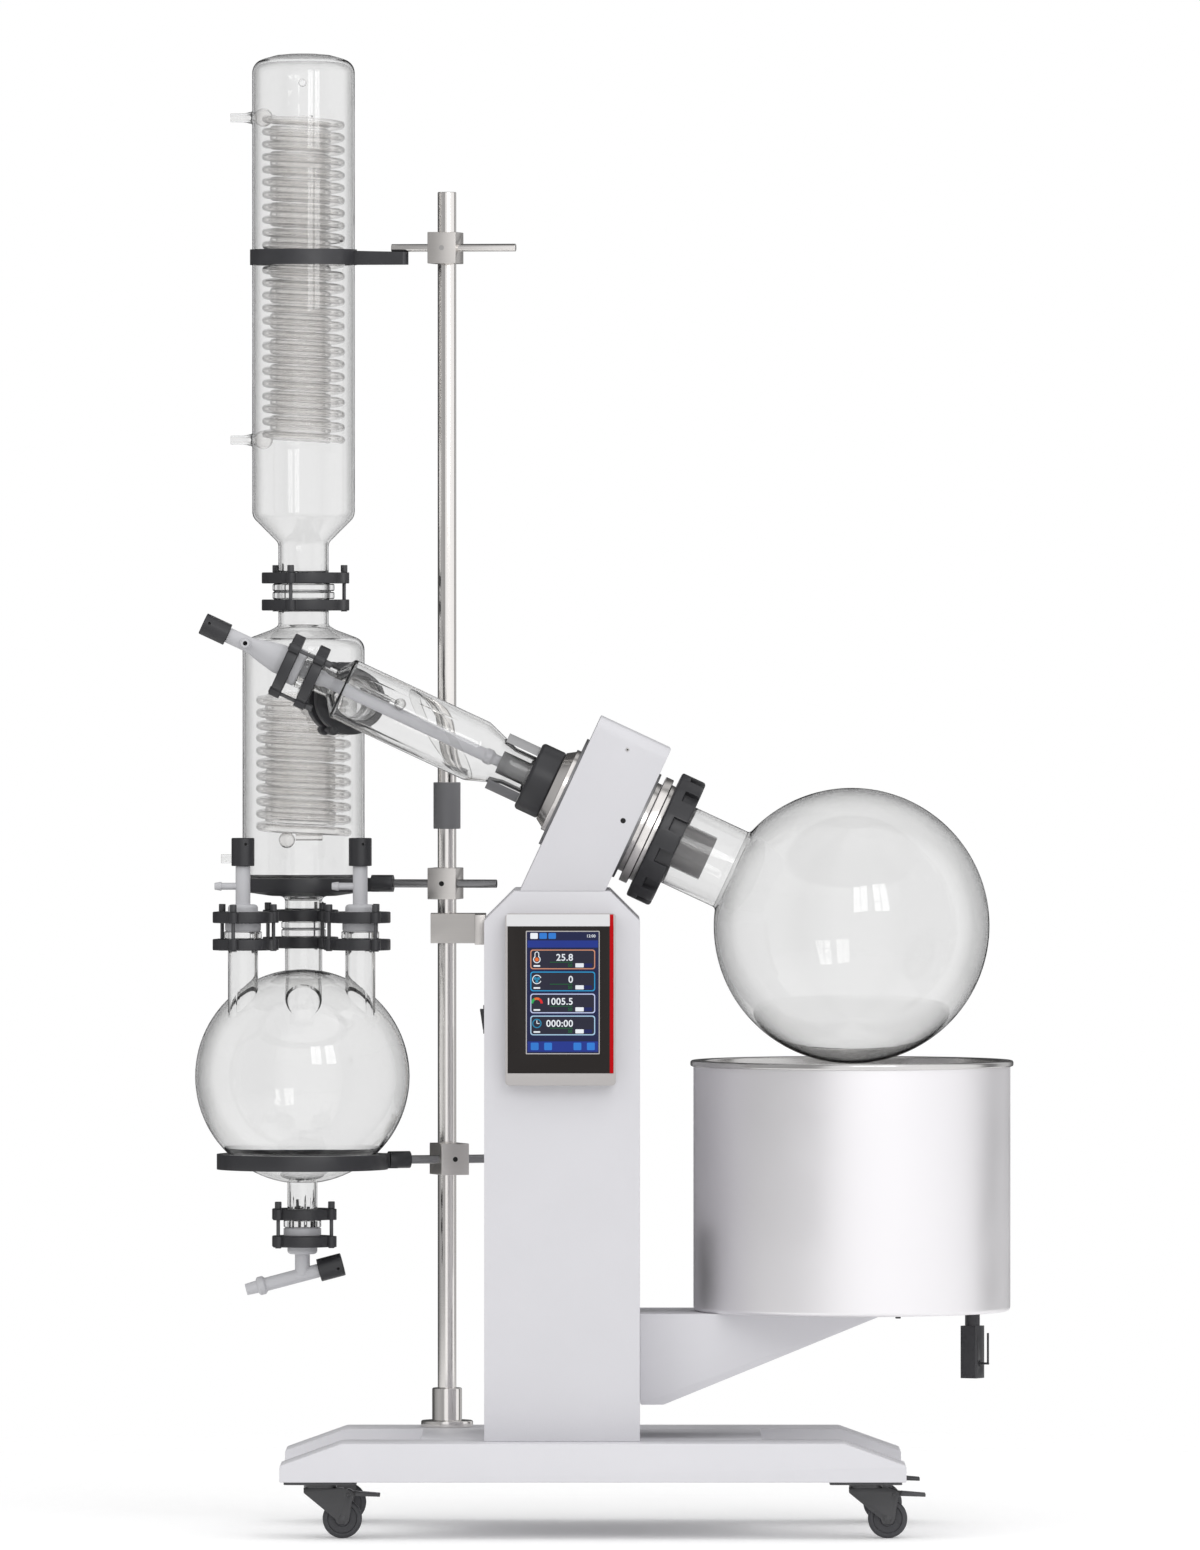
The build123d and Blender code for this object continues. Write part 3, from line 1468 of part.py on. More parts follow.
def nodes():
    """Every named piece of the object."""
    found = {
        "base_frame": base_frame(),
        "caster_plates": caster_plates(),
        "column_shell": column_shell(),
        "column_rear_cover": column_rear_cover(),
        "panel_case": panel_case(),
        "panel_bezel": panel_bezel(),
        "panel_display": panel_display(),
        "power_rocker": power_rocker(),
        "head_housing": head_housing(),
        "head_plates": head_plates(),
        "bearings_and_seal": bearings(),
        "driven_gear": driven_gear(),
        "motor_pinion": motor_pinion(),
        "drive_motor": drive_motor(),
        "drive_shaft": drive_shaft(),
        "flask_nut": flask_nut(),
        "evaporating_flask": evaporating_flask(),
        "vapour_tube": vapour_tube(),
        "tee_seat": tee_seat(),
        "tee_nut": tee_nut(),
        "vapour_tee": vapour_tee(),
        "feed_valve": feed_valve(),
        "feed_knob": feed_knob(),
        "upper_condenser": upper_condenser(),
        "upper_coil": upper_coil(),
        "lower_condenser": lower_condenser(),
        "lower_coil": lower_coil(),
        "receiver_flask": receiver_flask(),
        "vent_valves": vent_valves(),
        "left_vent_knob": vent_knob(left_neck_angle),
        "right_vent_knob": vent_knob(right_neck_angle),
        "drain_valve": drain_valve(),
        "drain_knob": drain_knob(),
        "joint_clamps": joint_clamps(),
        "clamp_screws": clamp_screws(),
        "support_rod": support_rod(),
        "rod_fittings": rod_fittings(),
        "cross_clamps": cross_clamps(),
        "condenser_holder": condenser_holder(),
        "middle_support_ring": middle_support_ring(),
        "lower_support_ring": lower_support_ring(),
        "bath_jacket": bath_jacket(),
        "bath_pot": bath_pot(),
        "bath_arm": bath_arm(),
        "bath_drain_cock": bath_drain_cock(),
        "drain_lever": drain_lever(),
        "lift_frame": lift_frame(),
        "lead_screw": lead_screw(),
    }
    names = ("front_left", "front_right", "rear_left", "rear_right")
    pieces = {"_fork": caster_fork(), "_wheel": caster_wheel(), "_pedal": caster_pedal()}
    for name, place in zip(names, caster_places()):
        for ending, piece in pieces.items():
            found[name + ending] = place * piece
    return found


# Footprint centre, which becomes the origin
footprint_x = (receiver_x - receiver_radius + bath_x + bath_rim_radius) / 2
footprint_y = (condenser_y + middle_ring_radius - base_depth / 2) / 2

os.makedirs("parts", exist_ok=True)
for name, shape in nodes().items():
    export_step(Pos(-footprint_x, -footprint_y, 0) * shape, "parts/" + name + ".step")
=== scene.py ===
"""Looks of a bench rotary evaporator: blown glass, painted steel, turned steel and moulded clamps.

Sizes in the classes are millimetres in the drawing frame of the object, with Z up and Y away from the front.
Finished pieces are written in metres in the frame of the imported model.
"""
from __future__ import annotations

import json
import logging
import math
from dataclasses import dataclass
from enum import Enum
from typing import Callable, Iterable, Sequence

import bmesh
import bpy
from mathutils import Matrix, Vector

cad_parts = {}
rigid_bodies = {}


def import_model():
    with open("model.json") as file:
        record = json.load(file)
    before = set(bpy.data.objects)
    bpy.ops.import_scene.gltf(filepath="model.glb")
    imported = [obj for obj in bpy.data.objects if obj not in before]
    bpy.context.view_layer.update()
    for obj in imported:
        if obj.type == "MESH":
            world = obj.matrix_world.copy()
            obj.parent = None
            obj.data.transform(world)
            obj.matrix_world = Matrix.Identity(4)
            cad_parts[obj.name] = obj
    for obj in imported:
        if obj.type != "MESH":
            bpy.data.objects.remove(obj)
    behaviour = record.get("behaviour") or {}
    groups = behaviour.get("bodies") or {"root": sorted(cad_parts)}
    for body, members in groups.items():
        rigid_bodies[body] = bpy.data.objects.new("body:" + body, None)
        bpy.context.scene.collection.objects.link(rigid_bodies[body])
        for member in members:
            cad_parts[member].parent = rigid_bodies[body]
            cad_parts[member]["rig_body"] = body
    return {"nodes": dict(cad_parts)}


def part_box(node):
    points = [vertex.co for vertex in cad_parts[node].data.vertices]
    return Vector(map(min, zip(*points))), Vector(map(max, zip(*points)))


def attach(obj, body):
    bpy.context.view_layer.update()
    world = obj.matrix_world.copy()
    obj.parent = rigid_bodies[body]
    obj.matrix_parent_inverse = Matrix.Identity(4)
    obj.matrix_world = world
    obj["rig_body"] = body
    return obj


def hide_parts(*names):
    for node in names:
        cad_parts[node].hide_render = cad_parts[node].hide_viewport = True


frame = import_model()

LOG = logging.getLogger("rotary_evaporator")
MILLIMETRE = 0.001
ROD_AXIS = Vector((-197.6, 195.0, 0.0))
GLASS_WALL = 3.0
Corner = Sequence[float]


def drawing_shift() -> Vector:
    """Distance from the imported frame's origin to the drawing's origin, found at the support rod.

    Returns:
        The vector in millimetres that is taken off a drawing point.
    """
    low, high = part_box("support_rod")
    middle = (low + high) / (2 * MILLIMETRE)
    return Vector((ROD_AXIS.x - middle.x, ROD_AXIS.y - middle.y, 0.0))


SHIFT = drawing_shift()


# Small geometry helpers
def move(x: float = 0.0, y: float = 0.0, z: float = 0.0) -> Matrix:
    """Placement moved along the three axes."""
    return Matrix.Translation((x, y, z))


def turn(degrees: float, axis: str) -> Matrix:
    """Placement turned about one axis."""
    return Matrix.Rotation(math.radians(degrees), 4, axis)


def rounded(corners: Sequence[Corner], closed: bool = True, step: float = 12.0) -> list[tuple[float, float]]:
    """Outline whose corners are rounded by their third number.

    Args:
        corners: Points of two numbers, with a radius as a third where the corner is round.
        closed: Whether the last point joins the first.
        step: Largest turn of one chord of an arc, in degrees.

    Returns:
        The points of the outline, arcs included.
    """
    outline: list[tuple[float, float]] = []
    count = len(corners)
    for index, corner in enumerate(corners):
        point = Vector((corner[0], corner[1]))
        radius = corner[2] if len(corner) > 2 else 0.0
        at_end = not closed and index in (0, count - 1)
        if radius <= 0 or at_end:
            outline.append((point.x, point.y))
            continue
        before = Vector(corners[index - 1][:2]) - point
        after = Vector(corners[(index + 1) % count][:2]) - point
        angle = before.angle(after)
        reach = radius / math.tan(angle / 2)
        reach = min(reach, 0.49 * before.length, 0.49 * after.length)
        radius = reach * math.tan(angle / 2)
        middle = point + (before.normalized() + after.normalized()).normalized() * (radius / math.sin(angle / 2))
        first = point + before.normalized() * reach - middle
        last = point + after.normalized() * reach - middle
        sweep = first.angle_signed(last)
        chords = max(2, math.ceil(abs(math.degrees(sweep)) / step))
        for chord in range(chords + 1):
            spot = first.copy()
            spot.rotate(Matrix.Rotation(-sweep * chord / chords, 2))
            outline.append((middle.x + spot.x, middle.y + spot.y))
    return outline


def arc(centre: float, radius: float, start: float, end: float, steps: int = 48) -> list[tuple[float, float]]:
    """Points of a circle on the turning axis, from one polar angle to another.

    Args:
        centre: Height of the circle's centre on the axis.
        radius: Radius of the circle.
        start: First angle in degrees from the axis' lower end.
        end: Last angle in degrees.
        steps: Number of chords.

    Returns:
        (radius, height) points.
    """
    points = []
    for index in range(steps + 1):
        angle = math.radians(start + (end - start) * index / steps)
        points.append((radius * math.sin(angle), centre - radius * math.cos(angle)))
    return points


@dataclass
class Solid:
    """A closed mesh in millimetres of the drawing frame."""

    points: list[Vector]
    faces: list[tuple[int, ...]]

    @staticmethod
    def lathe(corners: Sequence[Corner], segments: int = 64) -> "Solid":
        """Body turned about Z.

        Args:
            corners: Closed half outline of (radius, height) corners; a third number rounds a corner.
            segments: Number of faces round the axis.

        Returns:
            The closed solid.
        """
        outline = rounded(corners)
        points: list[Vector] = []
        rings: list[list[int]] = []
        for radius, height in outline:
            sides = 1 if radius < 1e-6 else segments
            rings.append(list(range(len(points), len(points) + sides)))
            for side in range(sides):
                angle = 2 * math.pi * side / segments
                points.append(Vector((radius * math.cos(angle), radius * math.sin(angle), height)))
        faces: list[tuple[int, ...]] = []
        for index, ring in enumerate(rings):
            other = rings[(index + 1) % len(rings)]
            if len(ring) == 1 and len(other) == 1:
                continue
            for side in range(segments):
                after = (side + 1) % segments
                face = [ring[side % len(ring)], ring[after % len(ring)], other[after % len(other)], other[side % len(other)]]
                faces.append(tuple(dict.fromkeys(face)))
        return Solid(points, faces).outward()

    @staticmethod
    def rod(radius: float, low: float, high: float, segments: int = 48, edge: float = 0.0) -> "Solid":
        """Round bar on Z with softened rims."""
        return Solid.lathe([(0, low), (radius, low, edge), (radius, high, edge), (0, high)], segments)

    @staticmethod
    def tube(outer: float, inner: float, low: float, high: float, segments: int = 48, edge: float = 0.0) -> "Solid":
        """Round tube on Z with softened rims."""
        return Solid.lathe([(inner, low), (outer, low, edge), (outer, high, edge), (inner, high)], segments)

    @staticmethod
    def prism(corners: Sequence[Corner], near: float, far: float) -> "Solid":
        """Outline of (x, z) corners carried along Y from near to far."""
        outline = rounded(corners)
        count = len(outline)
        points = [Vector((x, y, z)) for y in (near, far) for x, z in outline]
        faces: list[tuple[int, ...]] = [tuple(range(count)), tuple(range(2 * count - 1, count - 1, -1))]
        for index in range(count):
            after = (index + 1) % count
            faces.append((index, index + count, after + count, after))
        return Solid(points, faces).outward()

    @staticmethod
    def block(x: Corner, y: Corner, z: Corner) -> "Solid":
        """Box between a pair of limits on each axis."""
        return Solid.prism([(x[0], z[0]), (x[1], z[0]), (x[1], z[1]), (x[0], z[1])], y[0], y[1])

    @staticmethod
    def ball(radius: float, height: float = 0.0, segments: int = 96) -> "Solid":
        """Sphere centred on Z."""
        return Solid.lathe(arc(height, radius, 0, 180), segments)

    def outward(self) -> "Solid":
        """Same solid with its faces turned outwards."""
        volume = 0.0
        for face in self.faces:
            first = self.points[face[0]]
            for second, third in zip(face[1:], face[2:]):
                volume += first.dot(self.points[second].cross(self.points[third]))
        if volume < 0:
            self.faces = [tuple(reversed(face)) for face in self.faces]
        return self

    def at(self, *places: Matrix) -> "Solid":
        """Copy moved by the placements, applied from right to left."""
        whole = Matrix.Identity(4)
        for place in places:
            whole = whole @ place
        return Solid([whole @ point for point in self.points], list(self.faces))

    def beside(self, *others: "Solid") -> "Solid":
        """This solid and others side by side in one mesh."""
        points = list(self.points)
        faces = list(self.faces)
        for other in others:
            start = len(points)
            points += other.points
            faces += [tuple(corner + start for corner in face) for face in other.faces]
        return Solid(points, faces)

    def mesh(self, name: str) -> bpy.types.Mesh:
        """The solid as a mesh in millimetres."""
        data = bpy.data.meshes.new(name)
        data.from_pydata([tuple(point) for point in self.points], [], self.faces)
        data.update()
        return data


def side_by_side(solids: Iterable[Solid]) -> Solid:
    """Several solids in one mesh."""
    found = list(solids)
    return found[0].beside(*found[1:])


def inside_out(solid: Solid) -> Solid:
    """Solid with its faces turned inwards, to hollow out another."""
    return Solid(list(solid.points), [tuple(reversed(face)) for face in solid.faces])


def temporary(solid: Solid) -> bpy.types.Object:
    """Short-lived object that holds a solid for a modifier."""
    holder = bpy.data.objects.new("temporary", solid.mesh("temporary"))
    bpy.context.scene.collection.objects.link(holder)
    return holder


def settled(holder: bpy.types.Object) -> Solid:
    """Evaluated mesh of an object as a solid; the object is then deleted.

    Args:
        holder: Object whose modifiers are applied.

    Returns:
        The solid that the modifiers leave.
    """
    graph = bpy.context.evaluated_depsgraph_get()
    data = bpy.data.meshes.new_from_object(holder.evaluated_get(graph))
    solid = Solid([vertex.co.copy() for vertex in data.vertices], [tuple(face.vertices) for face in data.polygons])
    old = holder.data
    bpy.data.objects.remove(holder)
    bpy.data.meshes.remove(data)
    bpy.data.meshes.remove(old)
    return solid


def combined(body: Solid, tools: Iterable[Solid], operation: str) -> Solid:
    """Boolean of a body with several tools, one after the other.

    Args:
        body: Solid that is changed.
        tools: Solids that are added or taken away.
        operation: UNION, DIFFERENCE or INTERSECT.

    Returns:
        The changed solid.
    """
    holder = temporary(body)
    helpers = []
    for tool in tools:
        helper = temporary(tool)
        helpers.append(helper)
        step = holder.modifiers.new("boolean", "BOOLEAN")
        step.operation = operation
        step.solver = "EXACT"
        step.object = helper
    solid = settled(holder)
    for helper in helpers:
        data = helper.data
        bpy.data.objects.remove(helper)
        bpy.data.meshes.remove(data)
    return solid


def fused(body: Solid, *others: Solid) -> Solid:
    """Solids joined into one."""
    return combined(body, others, "UNION")


def cut(body: Solid, *tools: Solid) -> Solid:
    """Body with the tools taken away."""
    return combined(body, tools, "DIFFERENCE")


# Shader node groups
class Groups:
    """Effects shared by several materials, each built once as a shader node group."""

    made: dict[str, bpy.types.NodeTree] = {}

    @classmethod
    def start(cls, name: str, inputs: dict[str, float], outputs: Sequence[str]) -> tuple:
        """New group with float inputs and float outputs.

        Args:
            name: Name of the group.
            inputs: Input names and their standing values.
            outputs: Output names.

        Returns:
            The tree, its input node and its output node.
        """
        tree = bpy.data.node_groups.new(name, "ShaderNodeTree")
        for label, value in inputs.items():
            socket = tree.interface.new_socket(label, in_out="INPUT", socket_type="NodeSocketFloat")
            socket.default_value = value
        for label in outputs:
            tree.interface.new_socket(label, in_out="OUTPUT", socket_type="NodeSocketFloat")
        cls.made[name] = tree
        return tree, tree.nodes.new("NodeGroupInput"), tree.nodes.new("NodeGroupOutput")

    @classmethod
    def grain(cls) -> bpy.types.NodeTree:
        """Fine even grain with a broad cloudy mask, as on powder coat and moulded plastic."""
        if "fine_grain" in cls.made:
            return cls.made["fine_grain"]
        tree, source, result = cls.start("fine_grain", {"Grain Scale": 900.0, "Cloud Scale": 9.0}, ("Height", "Mask"))
        coordinates = tree.nodes.new("ShaderNodeTexCoord")
        for label, output, detail in (("Grain Scale", "Height", 2.0), ("Cloud Scale", "Mask", 4.0)):
            noise = tree.nodes.new("ShaderNodeTexNoise")
            noise.inputs["Detail"].default_value = detail
            tree.links.new(coordinates.outputs["Object"], noise.inputs["Vector"])
            tree.links.new(source.outputs[label], noise.inputs["Scale"])
            tree.links.new(noise.outputs["Fac"], result.inputs[output])
        return tree

    @classmethod
    def brushed(cls) -> bpy.types.NodeTree:
        """Lines that lie across an axis, as lathe or polishing marks."""
        if "brushed_lines" in cls.made:
            return cls.made["brushed_lines"]
        inputs = {"Axis X": 0.0, "Axis Y": 0.0, "Axis Z": 1.0, "Line Scale": 1500.0, "Drift": 6.0}
        tree, source, result = cls.start("brushed_lines", inputs, ("Height", "Mask"))
        coordinates = tree.nodes.new("ShaderNodeTexCoord")
        axis = tree.nodes.new("ShaderNodeCombineXYZ")
        for letter in "XYZ":
            tree.links.new(source.outputs["Axis " + letter], axis.inputs[letter])
        along = tree.nodes.new("ShaderNodeVectorMath")
        along.operation = "DOT_PRODUCT"
        tree.links.new(coordinates.outputs["Object"], along.inputs[0])
        tree.links.new(axis.outputs["Vector"], along.inputs[1])
        scaled = tree.nodes.new("ShaderNodeMath")
        scaled.operation = "MULTIPLY"
        tree.links.new(along.outputs["Value"], scaled.inputs[0])
        tree.links.new(source.outputs["Line Scale"], scaled.inputs[1])
        drift = tree.nodes.new("ShaderNodeTexNoise")
        tree.links.new(coordinates.outputs["Object"], drift.inputs["Vector"])
        tree.links.new(source.outputs["Drift"], drift.inputs["Scale"])
        drift.inputs["Detail"].default_value = 3.0
        lines = tree.nodes.new("ShaderNodeTexNoise")
        lines.noise_dimensions = "2D"
        lines.inputs["Scale"].default_value = 1.0
        lines.inputs["Detail"].default_value = 3.0
        spot = tree.nodes.new("ShaderNodeCombineXYZ")
        tree.links.new(scaled.outputs["Value"], spot.inputs["X"])
        tree.links.new(drift.outputs["Fac"], spot.inputs["Y"])
        tree.links.new(spot.outputs["Vector"], lines.inputs["Vector"])
        tree.links.new(lines.outputs["Fac"], result.inputs["Height"])
        tree.links.new(drift.outputs["Fac"], result.inputs["Mask"])
        return tree

    @classmethod
    def wear(cls) -> bpy.types.NodeTree:
        """Mask that is bright on worn outer edges and dark elsewhere."""
        if "edge_wear" in cls.made:
            return cls.made["edge_wear"]
        tree, source, result = cls.start("edge_wear", {"Amount": 0.5, "Breakup": 60.0}, ("Mask",))
        geometry = tree.nodes.new("ShaderNodeNewGeometry")
        edge = tree.nodes.new("ShaderNodeMapRange")
        edge.inputs["From Min"].default_value = 0.52
        edge.inputs["From Max"].default_value = 0.62
        tree.links.new(geometry.outputs["Pointiness"], edge.inputs["Value"])
        coordinates = tree.nodes.new("ShaderNodeTexCoord")
        noise = tree.nodes.new("ShaderNodeTexNoise")
        tree.links.new(coordinates.outputs["Object"], noise.inputs["Vector"])
        tree.links.new(source.outputs["Breakup"], noise.inputs["Scale"])
        broken = tree.nodes.new("ShaderNodeMath")
        broken.operation = "MULTIPLY"
        tree.links.new(edge.outputs["Result"], broken.inputs[0])
        tree.links.new(noise.outputs["Fac"], broken.inputs[1])
        amount = tree.nodes.new("ShaderNodeMath")
        amount.operation = "MULTIPLY"
        tree.links.new(broken.outputs["Value"], amount.inputs[0])
        tree.links.new(source.outputs["Amount"], amount.inputs[1])
        tree.links.new(amount.outputs["Value"], result.inputs["Mask"])
        return tree


@dataclass(frozen=True)
class Finish:
    """A surface finish that can make its own material."""

    name: str
    slot: str

    def writer(self) -> "Shader":
        """Empty material with a Principled shader."""
        return Shader(self.name)

    def build(self) -> bpy.types.Material:
        """Material of the finish."""
        return self.writer().material

    def material(self) -> bpy.types.Material:
        """Material of the finish, built on first use."""
        found = bpy.data.materials.get(self.name)
        return found if found else self.build()


class Shader:
    """Short way to write a material's node tree."""

    def __init__(self, name: str) -> None:
        """Make the material and keep its Principled shader."""
        self.material = bpy.data.materials.new(name)
        self.material.use_nodes = True
        self.tree = self.material.node_tree
        self.principled = next(node for node in self.tree.nodes if node.type == "BSDF_PRINCIPLED")

    def constant(self, **values: float) -> None:
        """Set sockets of the Principled shader; an underscore in a name stands for a space."""
        for label, value in values.items():
            self.principled.inputs[label.replace("_", " ")].default_value = value

    def group(self, tree: bpy.types.NodeTree, **values: float) -> bpy.types.Node:
        """Place a shader node group with its own values."""
        node = self.tree.nodes.new("ShaderNodeGroup")
        node.node_tree = tree
        for label, value in values.items():
            node.inputs[label.replace("_", " ")].default_value = value
        return node

    def mixed(self, factor: bpy.types.NodeSocket, first: Corner, second: Corner) -> bpy.types.NodeSocket:
        """Colour that runs from the first to the second with a factor."""
        node = self.tree.nodes.new("ShaderNodeMix")
        node.data_type = "RGBA"
        node.inputs[6].default_value = (*first, 1.0)
        node.inputs[7].default_value = (*second, 1.0)
        self.tree.links.new(factor, node.inputs[0])
        return node.outputs[2]

    def ranged(self, factor: bpy.types.NodeSocket, low: float, high: float, start: float = 0.3, end: float = 0.7):
        """Value that runs from low to high while the factor runs from start to end."""
        node = self.tree.nodes.new("ShaderNodeMapRange")
        node.inputs["From Min"].default_value = start
        node.inputs["From Max"].default_value = end
        node.inputs["To Min"].default_value = low
        node.inputs["To Max"].default_value = high
        self.tree.links.new(factor, node.inputs["Value"])
        return node.outputs["Result"]

    def feed(self, label: str, socket: bpy.types.NodeSocket) -> None:
        """Link a socket to the Principled shader."""
        self.tree.links.new(socket, self.principled.inputs[label])

    def bump(self, height: bpy.types.NodeSocket, distance: float, strength: float = 1.0) -> None:
        """Surface relief from a height, with its depth in metres."""
        node = self.tree.nodes.new("ShaderNodeBump")
        node.inputs["Distance"].default_value = distance
        node.inputs["Strength"].default_value = strength
        self.tree.links.new(height, node.inputs["Height"])
        self.feed("Normal", node.outputs["Normal"])


def shade(colour: Corner, factor: float) -> tuple[float, float, float]:
    """Colour made lighter or darker by a factor."""
    return tuple(min(1.0, part * factor) for part in colour)


@dataclass(frozen=True)
class Coating(Finish):
    """Powder coat, moulded plastic or rubber: grain, cloudy colour and paler worn edges."""

    colour: Corner = (0.7, 0.7, 0.7)
    roughness: float = 0.45
    grain_scale: float = 900.0
    grain_depth: float = 0.00005
    variation: float = 0.03
    wear: float = 0.0
    coat: float = 0.0
    metallic: float = 0.0
    specular: float = 0.5

    def build(self) -> bpy.types.Material:
        """Material with grain, cloudy colour and edge wear."""
        write = self.writer()
        grain = write.group(Groups.grain(), Grain_Scale=self.grain_scale)
        colour = write.mixed(grain.outputs["Mask"], shade(self.colour, 1 - self.variation), shade(self.colour, 1 + self.variation))
        if self.wear > 0:
            worn = write.group(Groups.wear(), Amount=self.wear)
            blend = write.tree.nodes.new("ShaderNodeMix")
            blend.data_type = "RGBA"
            blend.inputs[7].default_value = (*shade(self.colour, 3.5), 1.0)
            write.tree.links.new(worn.outputs["Mask"], blend.inputs[0])
            write.tree.links.new(colour, blend.inputs[6])
            colour = blend.outputs[2]
        write.feed("Base Color", colour)
        write.feed("Roughness", write.ranged(grain.outputs["Mask"], self.roughness - 0.05, self.roughness + 0.05))
        write.bump(grain.outputs["Height"], self.grain_depth)
        write.constant(Metallic=self.metallic, Specular_IOR_Level=self.specular, Coat_Weight=self.coat, Coat_Roughness=0.08)
        return write.material


@dataclass(frozen=True)
class BrushedMetal(Finish):
    """Turned or brushed steel with fine lines across an axis."""

    colour: Corner = (0.62, 0.59, 0.56)
    roughness: float = 0.3
    axis: Corner = (0.0, 0.0, 1.0)
    line_scale: float = 1500.0
    depth: float = 0.0000015

    def build(self) -> bpy.types.Material:
        """Metal with lines in colour, gloss and relief."""
        write = self.writer()
        x, y, z = self.axis
        lines = write.group(Groups.brushed(), Axis_X=x, Axis_Y=y, Axis_Z=z, Line_Scale=self.line_scale)
        write.feed("Base Color", write.mixed(lines.outputs["Height"], shade(self.colour, 0.97), shade(self.colour, 1.03)))
        write.feed("Roughness", write.ranged(lines.outputs["Mask"], self.roughness - 0.02, self.roughness + 0.02))
        write.constant(Metallic=1.0)
        write.bump(lines.outputs["Height"], self.depth)
        return write.material


@dataclass(frozen=True)
class BlownGlass(Finish):
    """Clear glass whose colour darkens where the wall is seen edge on, a painted shade for the dark outlines of the
    glass.
    """

    tint: Corner = (0.905, 0.905, 0.900)
    # edge is the colour of the painted shade where the wall is seen edge on.
    edge: Corner = (0.012, 0.012, 0.012)
    painted_edge_shade_start: float = 0.42
    painted_edge_shade_power: float = 1.9
    roughness: float = 0.0
    wave_depth: float = 0.0006
    refraction: float = 1.45

    def build(self) -> bpy.types.Material:
        """Transmissive material with a faint wave in the surface."""
        write = self.writer()
        # Painted shade: the base colour runs from the tint to the edge colour as the wall turns edge on to the view.
        facing = write.tree.nodes.new("ShaderNodeLayerWeight")
        facing.inputs["Blend"].default_value = 0.5
        painted_edge_shade_factor = write.ranged(facing.outputs["Facing"], 0.0, 1.0, self.painted_edge_shade_start, 1.0)
        falloff = write.tree.nodes.new("ShaderNodeMath")
        falloff.operation = "POWER"
        falloff.inputs[1].default_value = self.painted_edge_shade_power
        write.tree.links.new(painted_edge_shade_factor, falloff.inputs[0])
        write.feed("Base Color", write.mixed(falloff.outputs["Value"], self.tint, self.edge))
        waves = write.group(Groups.grain(), Grain_Scale=14.0, Cloud_Scale=4.0)
        write.feed("Roughness", write.ranged(waves.outputs["Mask"], self.roughness, self.roughness + 0.012))
        write.constant(Transmission_Weight=1.0, IOR=self.refraction)
        write.bump(waves.outputs["Height"], self.wave_depth, 0.6)
        return write.material


@dataclass(frozen=True)
class LitScreen(Finish):
    """Lit part of the touch screen, with a fine grain in its colour."""

    colour: Corner = (0.02, 0.05, 0.3)
    glow: float = 1.0

    def build(self) -> bpy.types.Material:
        """Glossy plastic that glows in its own colour."""
        write = self.writer()
        grain = write.group(Groups.grain(), Grain_Scale=2600.0, Cloud_Scale=18.0)
        colour = write.mixed(grain.outputs["Mask"], shade(self.colour, 0.85), shade(self.colour, 1.15))
        write.feed("Emission Color", colour)
        write.constant(Base_Color=(0.01, 0.01, 0.012, 1.0), Emission_Strength=self.glow, Roughness=0.25, Specular_IOR_Level=0.08)
        return write.material


TILT = 25.0
TILTED_AXIS = (math.cos(math.radians(TILT)), 0.0, -math.sin(math.radians(TILT)))

WHITE_PAINT = Coating("white_powder_coat", "white_paint", colour=(0.655, 0.65, 0.678), roughness=0.42, grain_depth=0.00008, wear=0.0)
BATH_PAINT = Coating("bath_satin_coat", "bath_paint", colour=(0.85, 0.835, 0.85), roughness=0.45, grain_depth=0.000004, variation=0.01, metallic=0.88)
PANEL_SHELL = Coating("panel_shell_coat", "panel_shell", colour=(0.44, 0.42, 0.415), roughness=0.4, variation=0.02)
PANEL_LABEL = Coating("panel_label_film", "panel_shell", colour=(0.70, 0.70, 0.71), roughness=0.4, variation=0.01, specular=0.2)
RED_FILM = Coating("red_strip_film", "panel_shell", colour=(0.45, 0.001, 0.004), roughness=0.4, variation=0.04, specular=0.1)
PANEL_GLASS = Coating("panel_dark_film", "panel_glass", colour=(0.018, 0.015, 0.014), roughness=0.3, grain_depth=0.00001, specular=0.14)
BLACK_PLASTIC = Coating("black_glass_filled_plastic", "black_plastic", colour=(0.026, 0.026, 0.029), roughness=0.36, variation=0.1, wear=0.3)
DARK_SLEEVE = Coating("dark_grey_sleeve_plastic", "black_plastic", colour=(0.17, 0.17, 0.178), roughness=0.45, variation=0.06, wear=0.2)
PIPE_WHITE = Coating("feed_pipe_fluoropolymer", "ptfe", colour=(0.80, 0.80, 0.84), roughness=0.3, variation=0.02)
PTFE = Coating("white_grey_fluoropolymer", "ptfe", colour=(0.52, 0.52, 0.54), roughness=0.4, variation=0.03)
RUBBER = Coating("caster_tread_rubber", "tyre", colour=(0.045, 0.045, 0.05), roughness=0.55, variation=0.12, wear=0.3)
CASTER_BLACK = Coating("caster_black_lacquer", "black_plastic", colour=(0.05, 0.05, 0.053), roughness=0.35, variation=0.1, wear=0.4)
MOTOR_BLACK = Coating("motor_black_lacquer", "motor_black", colour=(0.03, 0.03, 0.032), roughness=0.4, variation=0.1)
UPRIGHT_STEEL = BrushedMetal("upright_brushed_steel", "polished_steel", colour=(0.82, 0.795, 0.77), roughness=0.13, depth=0.0)
TURNED_STEEL = BrushedMetal("tilted_turned_steel", "polished_steel", colour=(0.82, 0.79, 0.765), roughness=0.2, axis=TILTED_AXIS)
BLOCK_STEEL = BrushedMetal("milled_block_steel", "steel", colour=(0.66, 0.635, 0.61), roughness=0.34, line_scale=900.0)
DARK_BAR = BrushedMetal("dark_bar_steel", "steel", colour=(0.27, 0.27, 0.275), roughness=0.35, axis=(1.0, 0.0, 0.0))
